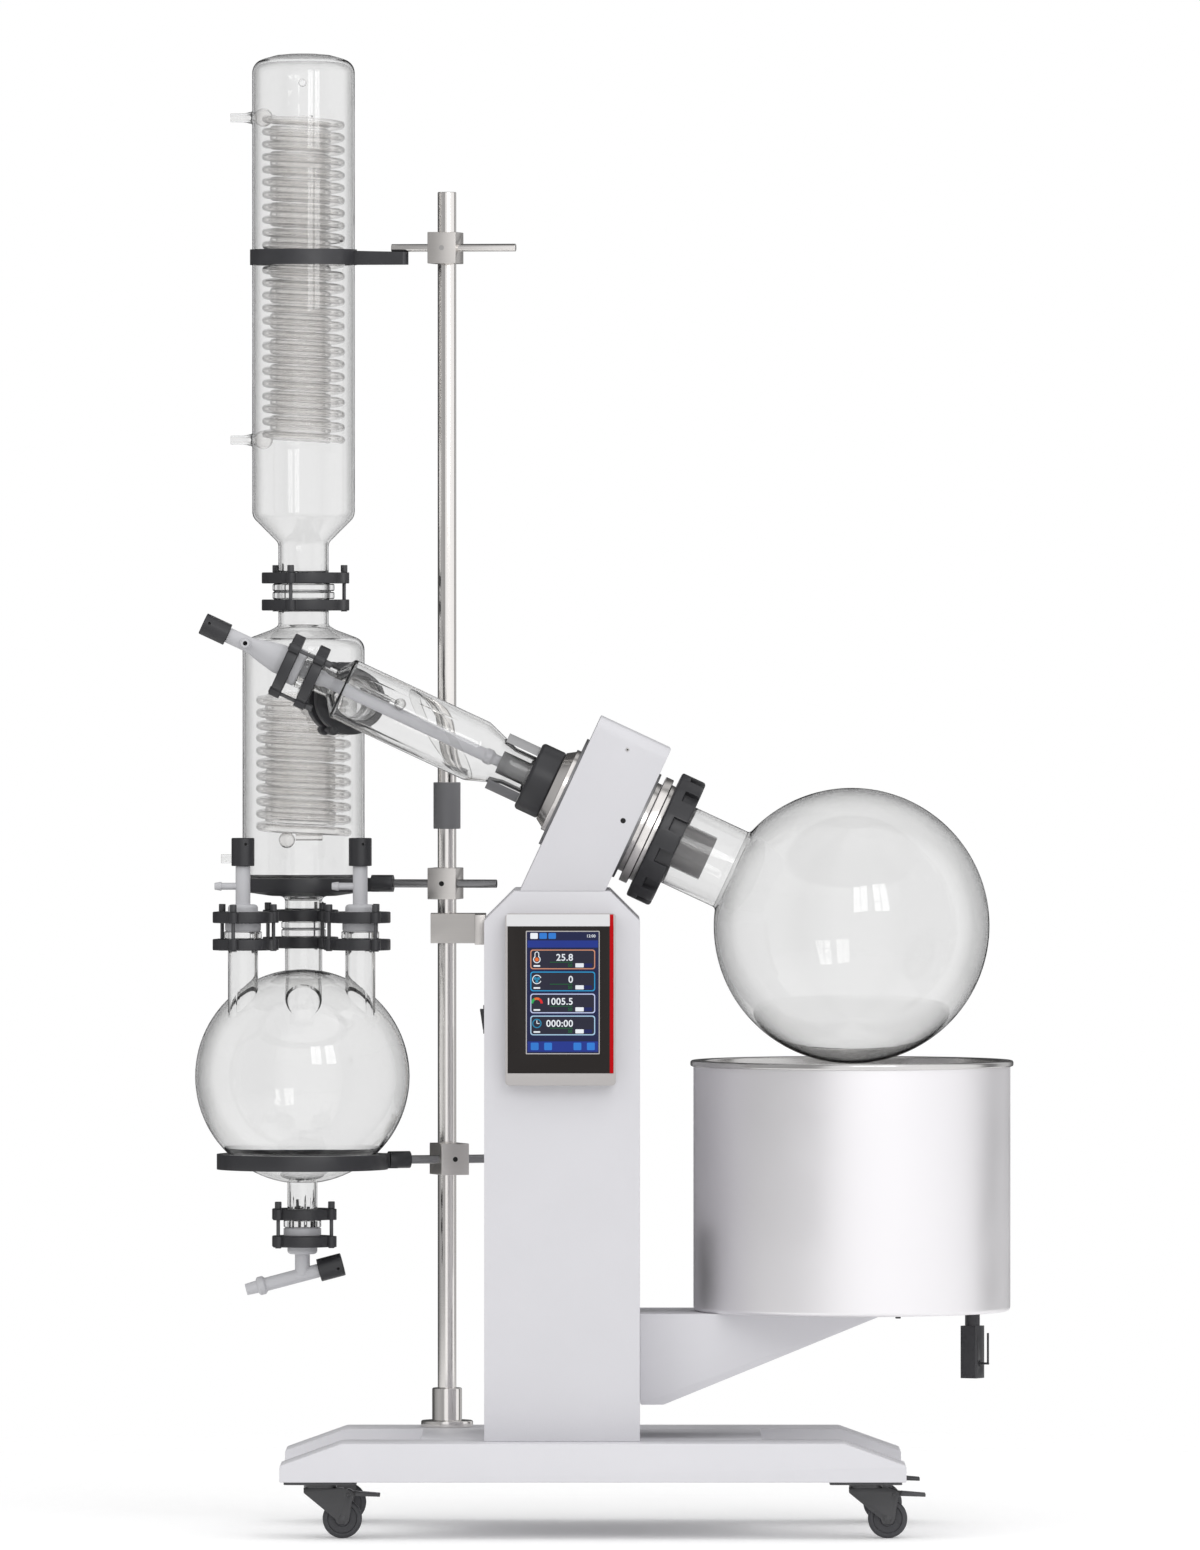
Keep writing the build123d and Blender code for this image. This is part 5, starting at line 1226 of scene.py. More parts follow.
@dataclass
class Condensers:
    """The tall upper condenser, the wide lower one and their cooling coils."""

    upper_radius: float = 66.25
    upper_top: float = 1895.5
    dome_rise: float = 12.0
    neck: float = 32.5
    flange: float = 40.0
    joint: float = 1201.4
    flange_height: float = 9.1
    lower_radius: float = 78.8
    foot_neck: float = 24.0
    foot_flange: float = 28.7
    foot_joint: float = 765.6
    nozzle_heights: tuple[float, float] = (1397.0, 1813.0)
    nozzle_reach: float = 94.0
    bulb: float = 12.0
    lower_nozzle: float = 856.0
    port_joint: float = 80.0
    port_radius: float = 32.0

    def nozzle(self, height: float, start: float, reach: float) -> tuple[Solid, Solid]:
        """Coolant nozzle to the left and its bore."""
        place = CONDENSER @ move(z=height) @ turn(-90, "Y")
        outer = Solid.lathe([(0, start - 3), (9, start - 3), (6.6, start + 6, 4), (5.6, start + 12), (5.6, reach, 0.8), (0, reach)], 32)
        return outer.at(place), Solid.rod(3.6, start - 9, reach + 2, 24).at(place)

    def upper(self) -> Solid:
        """Upper jacket with its dome, cone, nozzles and front port."""
        wall = GLASS_WALL
        base = self.joint + 0.6
        radius = self.upper_radius
        outer = Solid.lathe(
            [(0, base), (self.flange, base, 2), (self.flange, base + self.flange_height, 2), (self.neck, base + self.flange_height, 3),
             (self.neck, 1264, 10), (radius, 1298, 16), (radius, self.upper_top - self.dome_rise, 18), (34.2, self.upper_top, 110),
             (0, self.upper_top)], 128
        )
        inner = Solid.lathe(
            [(0, base - 2), (self.neck - wall, base - 2), (self.neck - wall, 1265.5, 10), (radius - wall, 1299.5, 14),
             (radius - wall, self.upper_top - self.dome_rise - wall, 15), (32.7, self.upper_top - wall, 107),
             (0, self.upper_top - wall)], 128
        )
        outers, inners = [], []
        for height in self.nozzle_heights:
            tube, bore = self.nozzle(height, radius, self.nozzle_reach)
            outers.append(tube)
            inners.append(bore)
        front = CONDENSER @ move(z=1856.0) @ turn(90, "X")
        outers.append(Solid.lathe([(0, 60), (5, 60), (5, 84, 1.4), (0, 84)], 32).at(front))
        inners.append(Solid.rod(3.2, 50, 86, 24).at(front))
        return cut(fused(outer.at(CONDENSER), *outers), fused(inner.at(CONDENSER), *inners))

    def lower(self) -> Solid:
        """Lower jacket with the vapour neck at its side."""
        wall = GLASS_WALL
        top = self.joint - 0.6
        foot = self.foot_joint + 0.6
        radius = self.lower_radius
        outer = Solid.lathe(
            [(0, foot), (self.foot_flange, foot, 2), (self.foot_flange, foot + self.flange_height, 2),
             (self.foot_neck, foot + self.flange_height, 2), (self.foot_neck, 806, 6), (radius, 822, 18), (radius, 1138, 17),
             (self.neck + 9, 1152, 16), (self.neck, 1157.5, 5), (self.neck, top - self.flange_height, 2), (self.flange, top - self.flange_height, 2),
             (self.flange, top, 2), (0, top)], 128
        )
        inner = Solid.lathe(
            [(0, foot - 2), (self.foot_neck - wall, foot - 2), (self.foot_neck - wall, 809, 6), (radius - wall, 825, 16),
             (radius - wall, 1135, 15),
             (self.neck + 7, 1149, 15), (self.neck - wall, 1156, 5), (self.neck - wall, top + 2), (0, top + 2)], 128
        )
        start = self.port_joint + 0.6
        side = Solid.lathe(
            [(0, start), (self.flange, start, 2), (self.flange, start + self.flange_height, 2),
             (self.port_radius, start + self.flange_height, 2), (self.port_radius, PORT_RUN), (0, PORT_RUN)]
        ).at(PORT)
        side_bore = Solid.rod(self.port_radius - wall, start - 2, PORT_RUN, 64).at(PORT)
        tube, bore = self.nozzle(self.lower_nozzle, radius, self.nozzle_reach + radius - self.upper_radius)
        return cut(fused(outer.at(CONDENSER), side, tube), fused(inner.at(CONDENSER), side_bore, bore))

    def build(self) -> None:
        """Make the jackets and their coils."""
        piece("upper_condenser_glass", self.upper(), CLEAR_GLASS, "root", ["upper_condenser"], sharp=40)
        piece("lower_condenser_glass", self.lower(), CLEAR_GLASS, "root", ["lower_condenser"], sharp=40)
        centre = CONDENSER.translation
        upper = CoilTree(49.0, 1397.0, 1813.0, 16.25, 5.0, 3.6)
        upper.grow("upper_coil_glass", centre, COIL_GLASS, "root", ["upper_coil"])
        inner = CoilTree(35.4, 1397.0, 1813.0, 11.0, 4.6, 3.3)
        inner.grow("upper_return_coil_glass", centre + Vector((-3.9, 0, 0)), COIL_GLASS, "root", ["upper_coil"])
        bulb = Solid.ball(self.bulb, 0, 40).beside(inside_out(Solid.ball(self.bulb - 1.1, 0, 40)))
        bulbs = [bulb.at(CONDENSER, move(-self.upper_radius + self.bulb + 3.2, -14, height)) for height in self.nozzle_heights]
        piece("coolant_bulbs", side_by_side(bulbs), COIL_GLASS, "root", ["upper_coil"], sharp=50)
        lower = CoilTree(56.5, 890.0, 1070.0, 16.3, 5.5, 4.0)
        lower.grow("lower_coil_glass", centre, COIL_GLASS, "root", ["lower_coil"])
        return_coil = CoilTree(41.5, 902.0, 1070.0, 12.0, 4.8, 3.4)
        return_coil.grow("lower_return_coil_glass", centre + Vector((-4, 0, 0)), COIL_GLASS, "root", ["lower_coil"])
        tail = Solid.tube(4.4, 3.0, 0, 34, 24, 0.6).at(move(-392, 150, 884.6), turn(90, "Y"))
        bead = Solid.ball(10.5, 0, 32).beside(inside_out(Solid.ball(9.2, 0, 32))).at(move(-403.3, 150, 881))
        piece("lower_coil_outlet", tail.beside(bead), COIL_GLASS, "root", ["lower_coil"], sharp=50)


@dataclass
class TurningGlass:
    """Evaporating flask and the vapour tube inside its neck."""

    centre: float = 322.4
    radius: float = 176.2
    neck: float = 52.8
    flange: float = 60.0
    flange_left: float = 65.0
    flange_thickness: float = 6.0
    tube: float = 29.6
    tube_left: float = -112.5
    tube_right: float = 119.5

    def flask(self) -> Solid:
        """Blown flask as one closed shell of revolution."""
        wall = GLASS_WALL
        outer_start = math.degrees(math.asin(self.neck / self.radius))
        inner_radius = self.radius - wall
        inner_start = math.degrees(math.asin((self.neck - wall) / inner_radius))
        outline: list[Corner] = [
            (self.neck - wall, self.flange_left), (self.flange, self.flange_left, 1.5),
            (self.flange, self.flange_left + self.flange_thickness, 1.5), (self.neck, self.flange_left + self.flange_thickness, 1.5),
        ]
        outer = arc(self.centre, self.radius, outer_start, 180, 64)
        outline.append((outer[0][0], outer[0][1], 5.0))
        outline += outer[2:]
        inner = arc(self.centre, inner_radius, inner_start, 180, 64)
        outline += list(reversed(inner[2:]))
        outline.append((inner[0][0], inner[0][1], 6.0))
        return Solid.lathe(outline, 160).at(ROTARY)

    def vapour_tube(self) -> Solid:
        """Glass tube through the hollow shaft with its clamped flange."""
        inner = self.tube - GLASS_WALL
        return Solid.lathe(
            [(inner, self.tube_left, 1), (self.tube, self.tube_left, 1), (self.tube, 60), (58, 60), (58, 65), (self.tube, 65),
             (self.tube, self.tube_right, 1), (inner, self.tube_right, 1)], 96
        ).at(ROTARY)

    def build(self) -> None:
        """Make the turning glass."""
        piece("flask_glass", self.flask(), CLEAR_GLASS, "rotor", ["evaporating_flask"], sharp=40)
        piece("vapour_tube_glass", self.vapour_tube(), GROUND_GLASS, "rotor", ["vapour_tube"])


@dataclass
class VapourLine:
    """Tee on the left of the head, its seat and nut, and the feed valve with its pipe."""

    joint: float = -454.0
    small_neck: float = 19.25
    small_flange: float = 24.25
    body_radius: float = 40.6
    neck: float = 25.0
    port_radius: float = 32.0
    port_flange: float = 40.0
    port_joint: float = 80.0
    flange_height: float = 9.1
    spigot: float = -118.0

    def outline(self, inset: float) -> list[Corner]:
        """Half outline of the tee, drawn a distance inside its outer wall."""
        return [
            (self.small_neck - inset, -409.6 + inset, 3), (self.body_radius - inset, -395.1 + inset, 4),
            (self.body_radius - inset, -205.6, 14), (self.neck - inset, -161.5, 14),
        ]

    def tee(self) -> Solid:
        """Blown tee with its three ends."""
        wall = GLASS_WALL
        start = self.joint + 0.6
        outer = Solid.lathe(
            [(0, start), (self.small_flange, start, 1.5), (self.small_flange, start + self.flange_height, 1.5),
             (self.small_neck, start + self.flange_height, 1.5), *self.outline(0), (self.neck, self.spigot - 6, 1), (38, self.spigot - 6, 1),
             (38, self.spigot, 1), (0, self.spigot)], 96
        ).at(ROTARY)
        inner = Solid.lathe(
            [(0, start - 2), (self.small_neck - wall, start - 2), *self.outline(wall), (self.neck - wall, self.spigot + 2), (0, self.spigot + 2)], 96
        ).at(ROTARY)
        end = self.port_joint - 0.6
        port = Solid.lathe(
            [(0, 0), (self.port_radius, 0), (self.port_radius, end - self.flange_height, 2), (self.port_flange, end - self.flange_height, 2),
             (self.port_flange, end, 2), (0, end)]
        ).at(PORT)
        port_bore = Solid.rod(self.port_radius - wall, 0, end + 2, 64).at(PORT)
        return cut(fused(outer, port), fused(inner, port_bore))

    def feed_valve(self) -> Solid:
        """Feed valve with a nozzle towards the viewer and the pipe down the axis."""
        face = self.joint - 0.6
        body = Solid.lathe(
            [(0, -556.7), (10, -556.7, 0.8), (10, -526, 14), (14.5, -508, 20), (19.0, -486, 6), (19.0, face - 9.7), (24.25, face - 9.7, 1), (24.25, face, 1),
             (10.5, face), (10.5, -430, 1), (4, -430), (4, -500), (0, -500)]
        )
        nozzle = Solid.lathe(
            [(2.95, 8), (7.6, 8), (7.6, 12.5, 0.8), (5.7, 12.5), (5.7, 38, 0.8), (2.95, 38)], 48
        ).at(move(z=-531.8), turn(-90, "X"))
        return body.beside(nozzle).at(ROTARY)

    def feed_pipe(self) -> Solid:
        """Pipe that carries the feed down the axis into the flask."""
        return Solid.lathe(
            [(4, -440), (10.4, -440), (10.4, -424, 2), (8.3, -418, 2), (8.3, -196, 2), (10.2, -193, 2), (10.2, -186, 2), (7.2, -182, 1),
             (6.4, 118, 1), (4, 118)], 48
        ).at(ROTARY)

    def baffle(self) -> Solid:
        """Slanting glass band inside the tee that turns splashes back."""
        points, faces = [], []
        steps = 72
        reach = self.body_radius - GLASS_WALL - 0.2
        for step in range(steps):
            angle = 2 * math.pi * step / steps
            middle = -257 - 48 * math.cos(angle) + 19 * math.sin(angle)
            for radius, along in ((reach, -8), (reach, 8), (reach - 1.6, 8), (reach - 1.6, -8)):
                points.append(Vector((radius * math.cos(angle), radius * math.sin(angle), middle + along)))
        for step in range(steps):
            after = (step + 1) % steps
            for corner in range(4):
                side = (corner + 1) % 4
                faces.append((4 * step + corner, 4 * step + side, 4 * after + side, 4 * after + corner))
        return Solid(points, faces).outward().at(ROTARY)

    def build(self) -> None:
        """Make the tee, its fixing and the feed valve."""
        piece("vapour_tee_glass", self.tee(), CLEAR_GLASS, "root", ["vapour_tee"], sharp=40)
        piece("tee_splash_baffle", self.baffle(), CLEAR_GLASS, "root", sharp=40)
        bleed = Solid.tube(2.6, 1.6, -384, -322, 20, 0.4).beside(Solid.ball(7.6, -320, 32), inside_out(Solid.ball(6.3, -320, 32)))
        piece("tee_bleed_tube", bleed.at(ROTARY, move(13, 6, 0)), CLEAR_GLASS, "root", sharp=50)
        seat = Solid.lathe(
            [(36, -118), (40, -118), (40, -100.8), (46, -100.8, 1.5), (53, -90), (56, -90, 1), (56, -84.5), (36, -84.5)], 96
        ).at(ROTARY)
        piece("tee_seat_turned", seat, TURNED_STEEL, "root", ["tee_seat"])
        nut = Solid.lathe(
            [(25.4, -133.2), (45.7, -133.2, 5), (45.7, -100.8, 3), (40.05, -100.8), (40.05, -124.2), (25.4, -124.2)], 96
        ).at(ROTARY)
        piece("tee_nut_moulded", nut, BLACK_PLASTIC, "root", ["tee_nut"])
        guard = Solid.tube(38.5, 36.5, -177, -133.4, 72, 0.5)
        window = Solid.block((-26, 27), (-60, 60), (-190, -120))
        for name, side, finish in (("upper", 1, GUARD_GREY), ("lower", -1, DARK_SLEEVE)):
            half = Solid.block((0, -60 * side) if side < 0 else (-60, 0), (-60, 60), (-200, -100))
            piece(f"tee_neck_guard_{name}", cut(guard, window, half).at(ROTARY), finish, "root")
        sleeve = Solid.tube(15.0, 12.0, -174, -114, 64, 0.8).beside(Solid.tube(19.5, 15.1, -136, -114, 64, 0.8))
        piece("tee_neck_sleeve", sleeve.at(ROTARY), GUARD_GREY, "root")
        piece("feed_valve_body", self.feed_valve(), PTFE, "root", ["feed_valve"])
        piece("feed_pipe_drawn", self.feed_pipe(), PIPE_WHITE, "root", ["feed_valve"])
        knob = Knob(radius=14.2, length=35.0).solid().at(ROTARY, move(z=-557), turn(180, "X"))
        piece("feed_knob_moulded", knob, BLACK_PLASTIC, "feed_knob", ["feed_knob"])


@dataclass
class DriveHead:
    """Tilted drive head with its cover plates, drum and the notched flask nut."""

    notches: int = 12
    left: float = -81.0
    right: float = 17.0
    top: float = 108.0
    half_width: float = 160.0
    bend: float = 16.0

    def housing(self) -> Solid:
        """Folded cover with broad bends along its front and back, cut level on the column."""
        half, bend = self.half_width, self.bend
        shell = Solid.prism([(-140, -half), (self.top, -half, bend), (self.top, half, bend), (-140, half)], self.left, self.right)
        below = Solid.block((-400, 400), (-400, 400), (0, 821.0))
        return cut(shell.at(ROTARY, turn(90, "X")), below)

    def drum(self) -> Solid:
        """Hollow shaft and drum, turned in one piece."""
        return Solid.lathe(
            [(33, -78), (40, -78), (40, 21.3), (61, 21.3), (61, 27.5, 1), (72.5, 27.5, 1.2), (72.5, 38.5, 1.2), (66, 38.5, 1),
             (66, 44), (62, 44), (62, 60), (33, 60)], 128
        ).at(ROTARY)

    def nut(self) -> Solid:
        """Ring nut with rim notches open towards the flask."""
        ring = Solid.lathe(
            [(62.1, 44.3), (86, 44.3, 3), (86, 77.5, 4), (54.3, 77.5, 2), (54.3, 73.5), (62.1, 73.5)], 144
        )
        notch = Solid.prism([(78, 57.5, 3), (96, 57.5), (96, 80), (78, 80)], -9.5, 9.5)
        cutters = RingTree(self.notches, 0.0, 15.0).once(notch, Matrix.Identity(4), BLACK_PLASTIC)
        return cut(ring, cutters).at(ROTARY)

    def build(self) -> None:
        """Make the head."""
        piece("head_folded_housing", self.housing(), WHITE_PAINT, "root", ["head_housing"], bevel=1.0)
        plates = Solid.tube(74, 42, -84.5, -81, 128, 0.6).beside(Solid.tube(72.5, 42, 17, 21, 128, 0.8)).at(ROTARY)
        piece("head_cover_plates", plates, DARK_BAR, "root", ["head_plates"])
        piece("drive_drum", self.drum(), TURNED_STEEL, "rotor", ["drive_shaft"])
        piece("flask_ring_nut", self.nut(), BLACK_PLASTIC, "flask_nut", ["flask_nut"], bevel=0.6)
        # The front hole and the screw's socket are thin dark discs on the surface, painted shade for recesses that are
        # not cut.
        hole = Solid.rod(3.4, -0.15, 0.25, 32, 0.1).at(ROTARY, turn(-90, "X"), move(z=160))
        screw = Solid.rod(2.4, -0.4, 0.6, 24, 0.3).at(ROTARY, move(84, 0, -33), turn(-90, "X"), move(z=160))
        socket = Solid.rod(1.2, 0.5, 0.75, 6).at(ROTARY, move(84, 0, -33), turn(-90, "X"), move(z=160))
        piece("head_front_hole", hole, HOLE_PAINTED_SHADE, "root")
        piece("head_front_screw", screw, SCREW_STEEL, "root")
        piece("head_screw_socket", socket, HOLE_PAINTED_SHADE, "root")


@dataclass
class SupportRig:
    """Tall rod, its foot, sleeve and bracket, and the rings that hold the glass."""

    rod: float = 12.0
    rod_top: float = 1717.0
    base_top: float = 122.3
    bar_offset: float = 24.0
    bars: tuple = (
        (CONDENSER, 1644.5, 4.85, -68.0, 95.0),
        (CONDENSER, 824.6, 5.25, -66.5, 70.0),
        (RECEIVER, 469.0, 5.4, -57.0, 62.0),
    )

    def build(self) -> None:
        """Make the rod and its fittings and dress the holders."""
        place = move(*ROD_AXIS)
        rod = Solid.rod(self.rod, self.base_top, self.rod_top, 64, 1.2).at(place)
        piece("support_rod_polished", rod, UPRIGHT_STEEL, "root", ["support_rod"])
        foot = Solid.lathe(
            [(12, 122.3), (33.5, 122.3, 1), (33.5, 131, 2), (19.2, 131, 1), (19.2, 173, 2), (12, 173)], 96
        ).at(place)
        piece("rod_foot", foot, UPRIGHT_STEEL, "root", ["rod_fittings"])
        piece("rod_sleeve", Solid.tube(17.5, 12, 895, 955, 64, 0.8).at(place), DARK_SLEEVE, "root", ["rod_fittings"])
        dressed_part("rod_fittings", "rod_bracket", BLOCK_STEEL, lambda low, high: 20 < high.z - low.z < 45 and high.x - low.x > 50)
        # The clamp screw pieces of the middle and lower holders are dark discs, painted shade for the screw holes in
        # the clamps' fronts.
        holders = (
            ("condenser_holder", UPRIGHT_STEEL, SCREW_STEEL),
            ("middle_support_ring", DARK_BAR, HOLE_PAINTED_SHADE),
            ("lower_support_ring", DARK_BAR, HOLE_PAINTED_SHADE),
        )
        for (target, height, radius, left, right), (node, bar_finish, screw_finish) in zip(self.bars, holders):
            place = self.bar_frame(target, height)
            piece(node + "_clamp", self.cross_clamp(radius).at(place), BLOCK_STEEL, "root", ["cross_clamps"], bevel=0.7)
            screw = Solid.rod(3.3, -0.5, 0.2, 28).at(place, move(y=-13.0), turn(90, "X"))
            piece(node + "_clamp_screw", screw, screw_finish, "root")
            bar = Solid.rod(radius + 0.12, left, right, 32, 0.5).at(place, turn(90, "Y"))
            piece(node + "_bar", bar, bar_finish, "root", [node])
        target, height = self.bars[0][:2]
        piece("condenser_band", self.band().at(self.bar_frame(target, height)), BLACK_PLASTIC, "root", ["condenser_holder"], bevel=0.6)
        dressed_copy("middle_support_ring", BLACK_PLASTIC, 0.5)
        dressed_copy("lower_support_ring", BLACK_PLASTIC, 0.5)
        dish = Solid.lathe([(43, 808.3), (81, 813.9), (81, 816), (76, 815.8), (43, 810.6)], 128).at(CONDENSER)
        piece("middle_ring_dish", dish, BLACK_PLASTIC, "root")

    def cross_clamp(self, radius: float) -> Solid:
        """Block that grips the rod and one bar, in the bar's frame."""
        block = Solid.block((-18.5, 18.5), (-13, 41), (-20.25, 20.25))
        bore = Solid.rod(self.rod + 0.05, -30, 30).at(move(y=self.bar_offset))
        return cut(block, bore, Solid.rod(radius + 0.2, -30, 30, 32).at(turn(90, "Y")))

    def band(self) -> Solid:
        """Band round the upper condenser with its arm and pin, in the bar's frame."""
        run = (ROD_AXIS - CONDENSER.translation).xy.length
        centre = -math.sqrt(run ** 2 - self.bar_offset ** 2)
        hoop = Solid.rod(69.05, -21.5, -1.5, 128).at(move(centre))
        arm = Solid.prism([(centre, -21.5), (-52, -21.5), (-52, -5), (centre + 90, -4), (centre, -1.5)], -8, 8)
        pin = Solid.rod(8.0, -21.5, -5, 40).at(move(-54))
        whole = fused(hoop, arm, pin)
        return cut(whole, Solid.rod(66.55, -30, 10, 128).at(move(centre)))

    def bar_frame(self, target: Matrix, height: float) -> Matrix:
        """Frame of one cross bar: X runs along it away from its target, from a point beside the rod."""
        run = ROD_AXIS - target.translation
        bearing = math.degrees(math.atan2(run.y, run.x) - math.asin(self.bar_offset / run.xy.length))
        return move(*ROD_AXIS) @ move(z=height) @ turn(bearing, "Z") @ move(y=-self.bar_offset)


def dressed_part(node: str, name: str, finish: Finish, wanted: Callable[[Vector, Vector], bool]) -> bpy.types.Object:
    """Copy of those loose parts of a node whose boxes are wanted.

    Args:
        node: Name of the node.
        name: Name of the piece.
        finish: Its finish.
        wanted: Tells from a part's box in millimetres whether it is kept.

    Returns:
        The piece.
    """
    source = frame["nodes"][node]
    data = source.data.copy()
    work = bmesh.new()
    work.from_mesh(data)
    bmesh.ops.remove_doubles(work, verts=work.verts, dist=2e-6)
    unseen = set(work.verts)
    while unseen:
        island = [unseen.pop()]
        for vertex in island:
            for edge in vertex.link_edges:
                other = edge.other_vert(vertex)
                if other in unseen:
                    unseen.discard(other)
                    island.append(other)
        spots = [vertex.co / MILLIMETRE for vertex in island]
        low = Vector([min(spot[axis] for spot in spots) for axis in range(3)])
        high = Vector([max(spot[axis] for spot in spots) for axis in range(3)])
        if not wanted(low, high):
            bmesh.ops.delete(work, geom=island, context="VERTS")
    bmesh.ops.dissolve_limit(work, angle_limit=math.radians(1.0), verts=work.verts, edges=work.edges)
    work.to_mesh(data)
    work.free()
    holder = bpy.data.objects.new(name, data)
    bpy.context.scene.collection.objects.link(holder)
    softened(holder, 0.5 * MILLIMETRE)
    baked(holder)
    finish_mesh(holder.data, 30.0)
    return registered(holder, finish, source["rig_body"], [node])


@dataclass
class ControlPanel:
    """Panel on the column's front: shell, header, red strip, dark film and lit screen."""

    left: float = -120.0
    right: float = 20.0
    bottom: float = 575.0
    top: float = 793.0
    front: float = -225.0
    header: float = 16.0
    footer: float = 15.6
    strip: float = 4.6
    screen_left: float = -92.8
    screen_right: float = -1.6
    screen_bottom: float = 616.0
    screen_top: float = 770.0
    relief: float = 0.25

    def plate(self, x: Corner, z: Corner, level: int = 0, corner: float = 0.0) -> Solid:
        """Thin plate on the panel's face, a number of reliefs proud of it."""
        corners = [(x[0], z[0], corner), (x[1], z[0], corner), (x[1], z[1], corner), (x[0], z[1], corner)]
        back = self.front - self.relief * level
        return Solid.prism(corners, back - self.relief, back)

    def frame_line(self, x: Corner, z: Corner, width: float, level: int, corner: float) -> Solid:
        """Rounded frame line on the screen."""
        outer = self.plate(x, z, level, corner)
        inner = self.plate((x[0] + width, x[1] - width), (z[0] + width, z[1] - width), 0, corner - width / 2)
        deep = Solid([point + Vector((0, 0, 0)) for point in inner.points], inner.faces)
        for point in deep.points:
            point.y = self.front + 5 if point.y > self.front - self.relief / 2 else self.front - 5
        return cut(outer, deep)

    def words(self, text: str, size: float, x: float, z: float, level: int) -> Solid:
        """Generic digits on the screen, right-aligned at a point.

        Args:
            text: Digits to write.
            size: Height of the type.
            x: Right end of the digits.
            z: Base line of the digits.
            level: Number of reliefs proud of the face.

        Returns:
            The digits as a flat solid.
        """
        curve = bpy.data.curves.new("digits", "FONT")
        curve.body = text
        curve.size = size
        curve.align_x = "RIGHT"
        curve.extrude = self.relief / 2
        curve.space_character = 1.05
        curve.offset = size * 0.016
        holder = bpy.data.objects.new("digits", curve)
        bpy.context.scene.collection.objects.link(holder)
        graph = bpy.context.evaluated_depsgraph_get()
        data = bpy.data.meshes.new_from_object(holder.evaluated_get(graph))
        solid = Solid([vertex.co.copy() for vertex in data.vertices], [tuple(face.vertices) for face in data.polygons])
        bpy.data.objects.remove(holder)
        bpy.data.curves.remove(curve)
        bpy.data.meshes.remove(data)
        return solid.at(move(x, self.front - self.relief * (level + 0.5), z), turn(90, "X"))

    def build(self) -> None:
        """Make the panel and its screen."""
        dressed_copy("panel_case", PANEL_SHELL, 0.8)
        dressed_copy("panel_bezel", PANEL_GLASS, 0.3)
        dressed_copy("panel_display", LitScreen("screen_blue", "display", colour=(0.010, 0.014, 0.060)), 0.0)
        strip_left = self.right - 3 - self.strip
        label = self.plate((self.left + 1.5, strip_left), (self.top - self.header, self.top - 1), 0, 1.0)
        piece("panel_header_label", label, PANEL_LABEL, "root")
        strip = self.plate((strip_left, self.right - 3), (self.bottom + self.footer, self.top - 1), 0, 0.4)
        piece("panel_red_strip", strip, RED_FILM, "root")
        self.screen()

    def screen(self) -> None:
        """Make the lit rows of the screen: a header, four boxes with digits, and a footer."""
        left, right = self.screen_left, self.screen_right
        bright = LitScreen("screen_white", "display", colour=(0.82, 0.86, 0.95))
        blue = LitScreen("screen_bar_blue", "display", colour=(0.013, 0.034, 0.25))
        dark = LitScreen("screen_box_dark", "display", colour=(0.019, 0.019, 0.036))
        green = LitScreen("screen_green", "display", colour=(0.006, 0.13, 0.028))
        icon = LitScreen("screen_icon_blue", "display", colour=(0.028, 0.19, 0.62))
        rim = self.frame_line((left - 1.2, right + 1.2), (self.screen_bottom - 1.2, self.screen_top + 1.2), 1.2, 0, 1.0)
        piece("screen_rim", rim, PANEL_SHELL, "root")
        bars = [self.plate((left + 1, right - 1), (750, 759)), self.plate((left + 1, right - 1), (618, 631))]
        piece("screen_bars", side_by_side(bars), blue, "root")
        colours = (
            ("orange", (0.61, 0.27, 0.16)), ("cyan", (0.022, 0.31, 0.60)), ("pale", (0.52, 0.58, 0.82)), ("sky", (0.40, 0.60, 0.78)),
        )
        rows = ("25.8", "0", "1005.5", "000:00")
        boxes, digits, greens, icons, switches, slots, marks = [], [], [], [], [], [], []
        height, pitch, first = 25.0, 27.9, 722.5
        for index, ((name, colour), row) in enumerate(zip(colours, rows)):
            low = first - index * pitch
            span = ((left + 4.5, right - 4.5), (low, low + height))
            boxes.append(self.plate(*span, 0, 3.5))
            line = self.frame_line(*span, 1.3, 1, 3.5)
            piece("screen_frame_" + name, line, LitScreen("screen_line_" + name, "display", colour=colour), "root")
            digits.append(self.words(row, 12.0, right - 32.5, low + 11.0, 1))
            greens.append(self.plate((right - 62, right - 33), (low + 8.6, low + 9.4), 1))
            greens.append(self.words("50", 5.5, right - 33.5, low + 3.2, 1))
            switches.append(self.plate((right - 29.6, right - 19), (low + 2.4, low + 7.6), 1, 0.8))
            slots.append(self.plate((right - 18.6, right - 8.5), (low + 2.6, low + 7.4), 1, 0.8))
            marks.append(self.plate((left + 8.6, left + 17), (low + 3.2, low + 5.2), 1, 0.5))
        self.symbols(left + 12.8, first + 15.0, pitch)
        for index in range(3):
            start = left + 4.5 + index * 11.5
            (digits if index == 0 else icons).append(self.plate((start, start + 9.5), (761, 768.5), 0, 1.2))
        for start in (left + 5, left + 22, right - 32, right - 15):
            icons.append(self.plate((start, start + 10), (620, 629.5), 1, 1.4))
        digits.append(self.words("12:00", 5.0, right - 4, 763, 0))
        piece("screen_boxes", side_by_side(boxes), dark, "root")
        piece("screen_digits", side_by_side(digits + switches + marks), bright, "root")
        piece("screen_switch_slots", side_by_side(slots), LitScreen("screen_navy", "display", colour=(0.008, 0.014, 0.10)), "root")
        piece("screen_set_values", side_by_side(greens), green, "root")
        piece("screen_icons", side_by_side(icons), icon, "root")


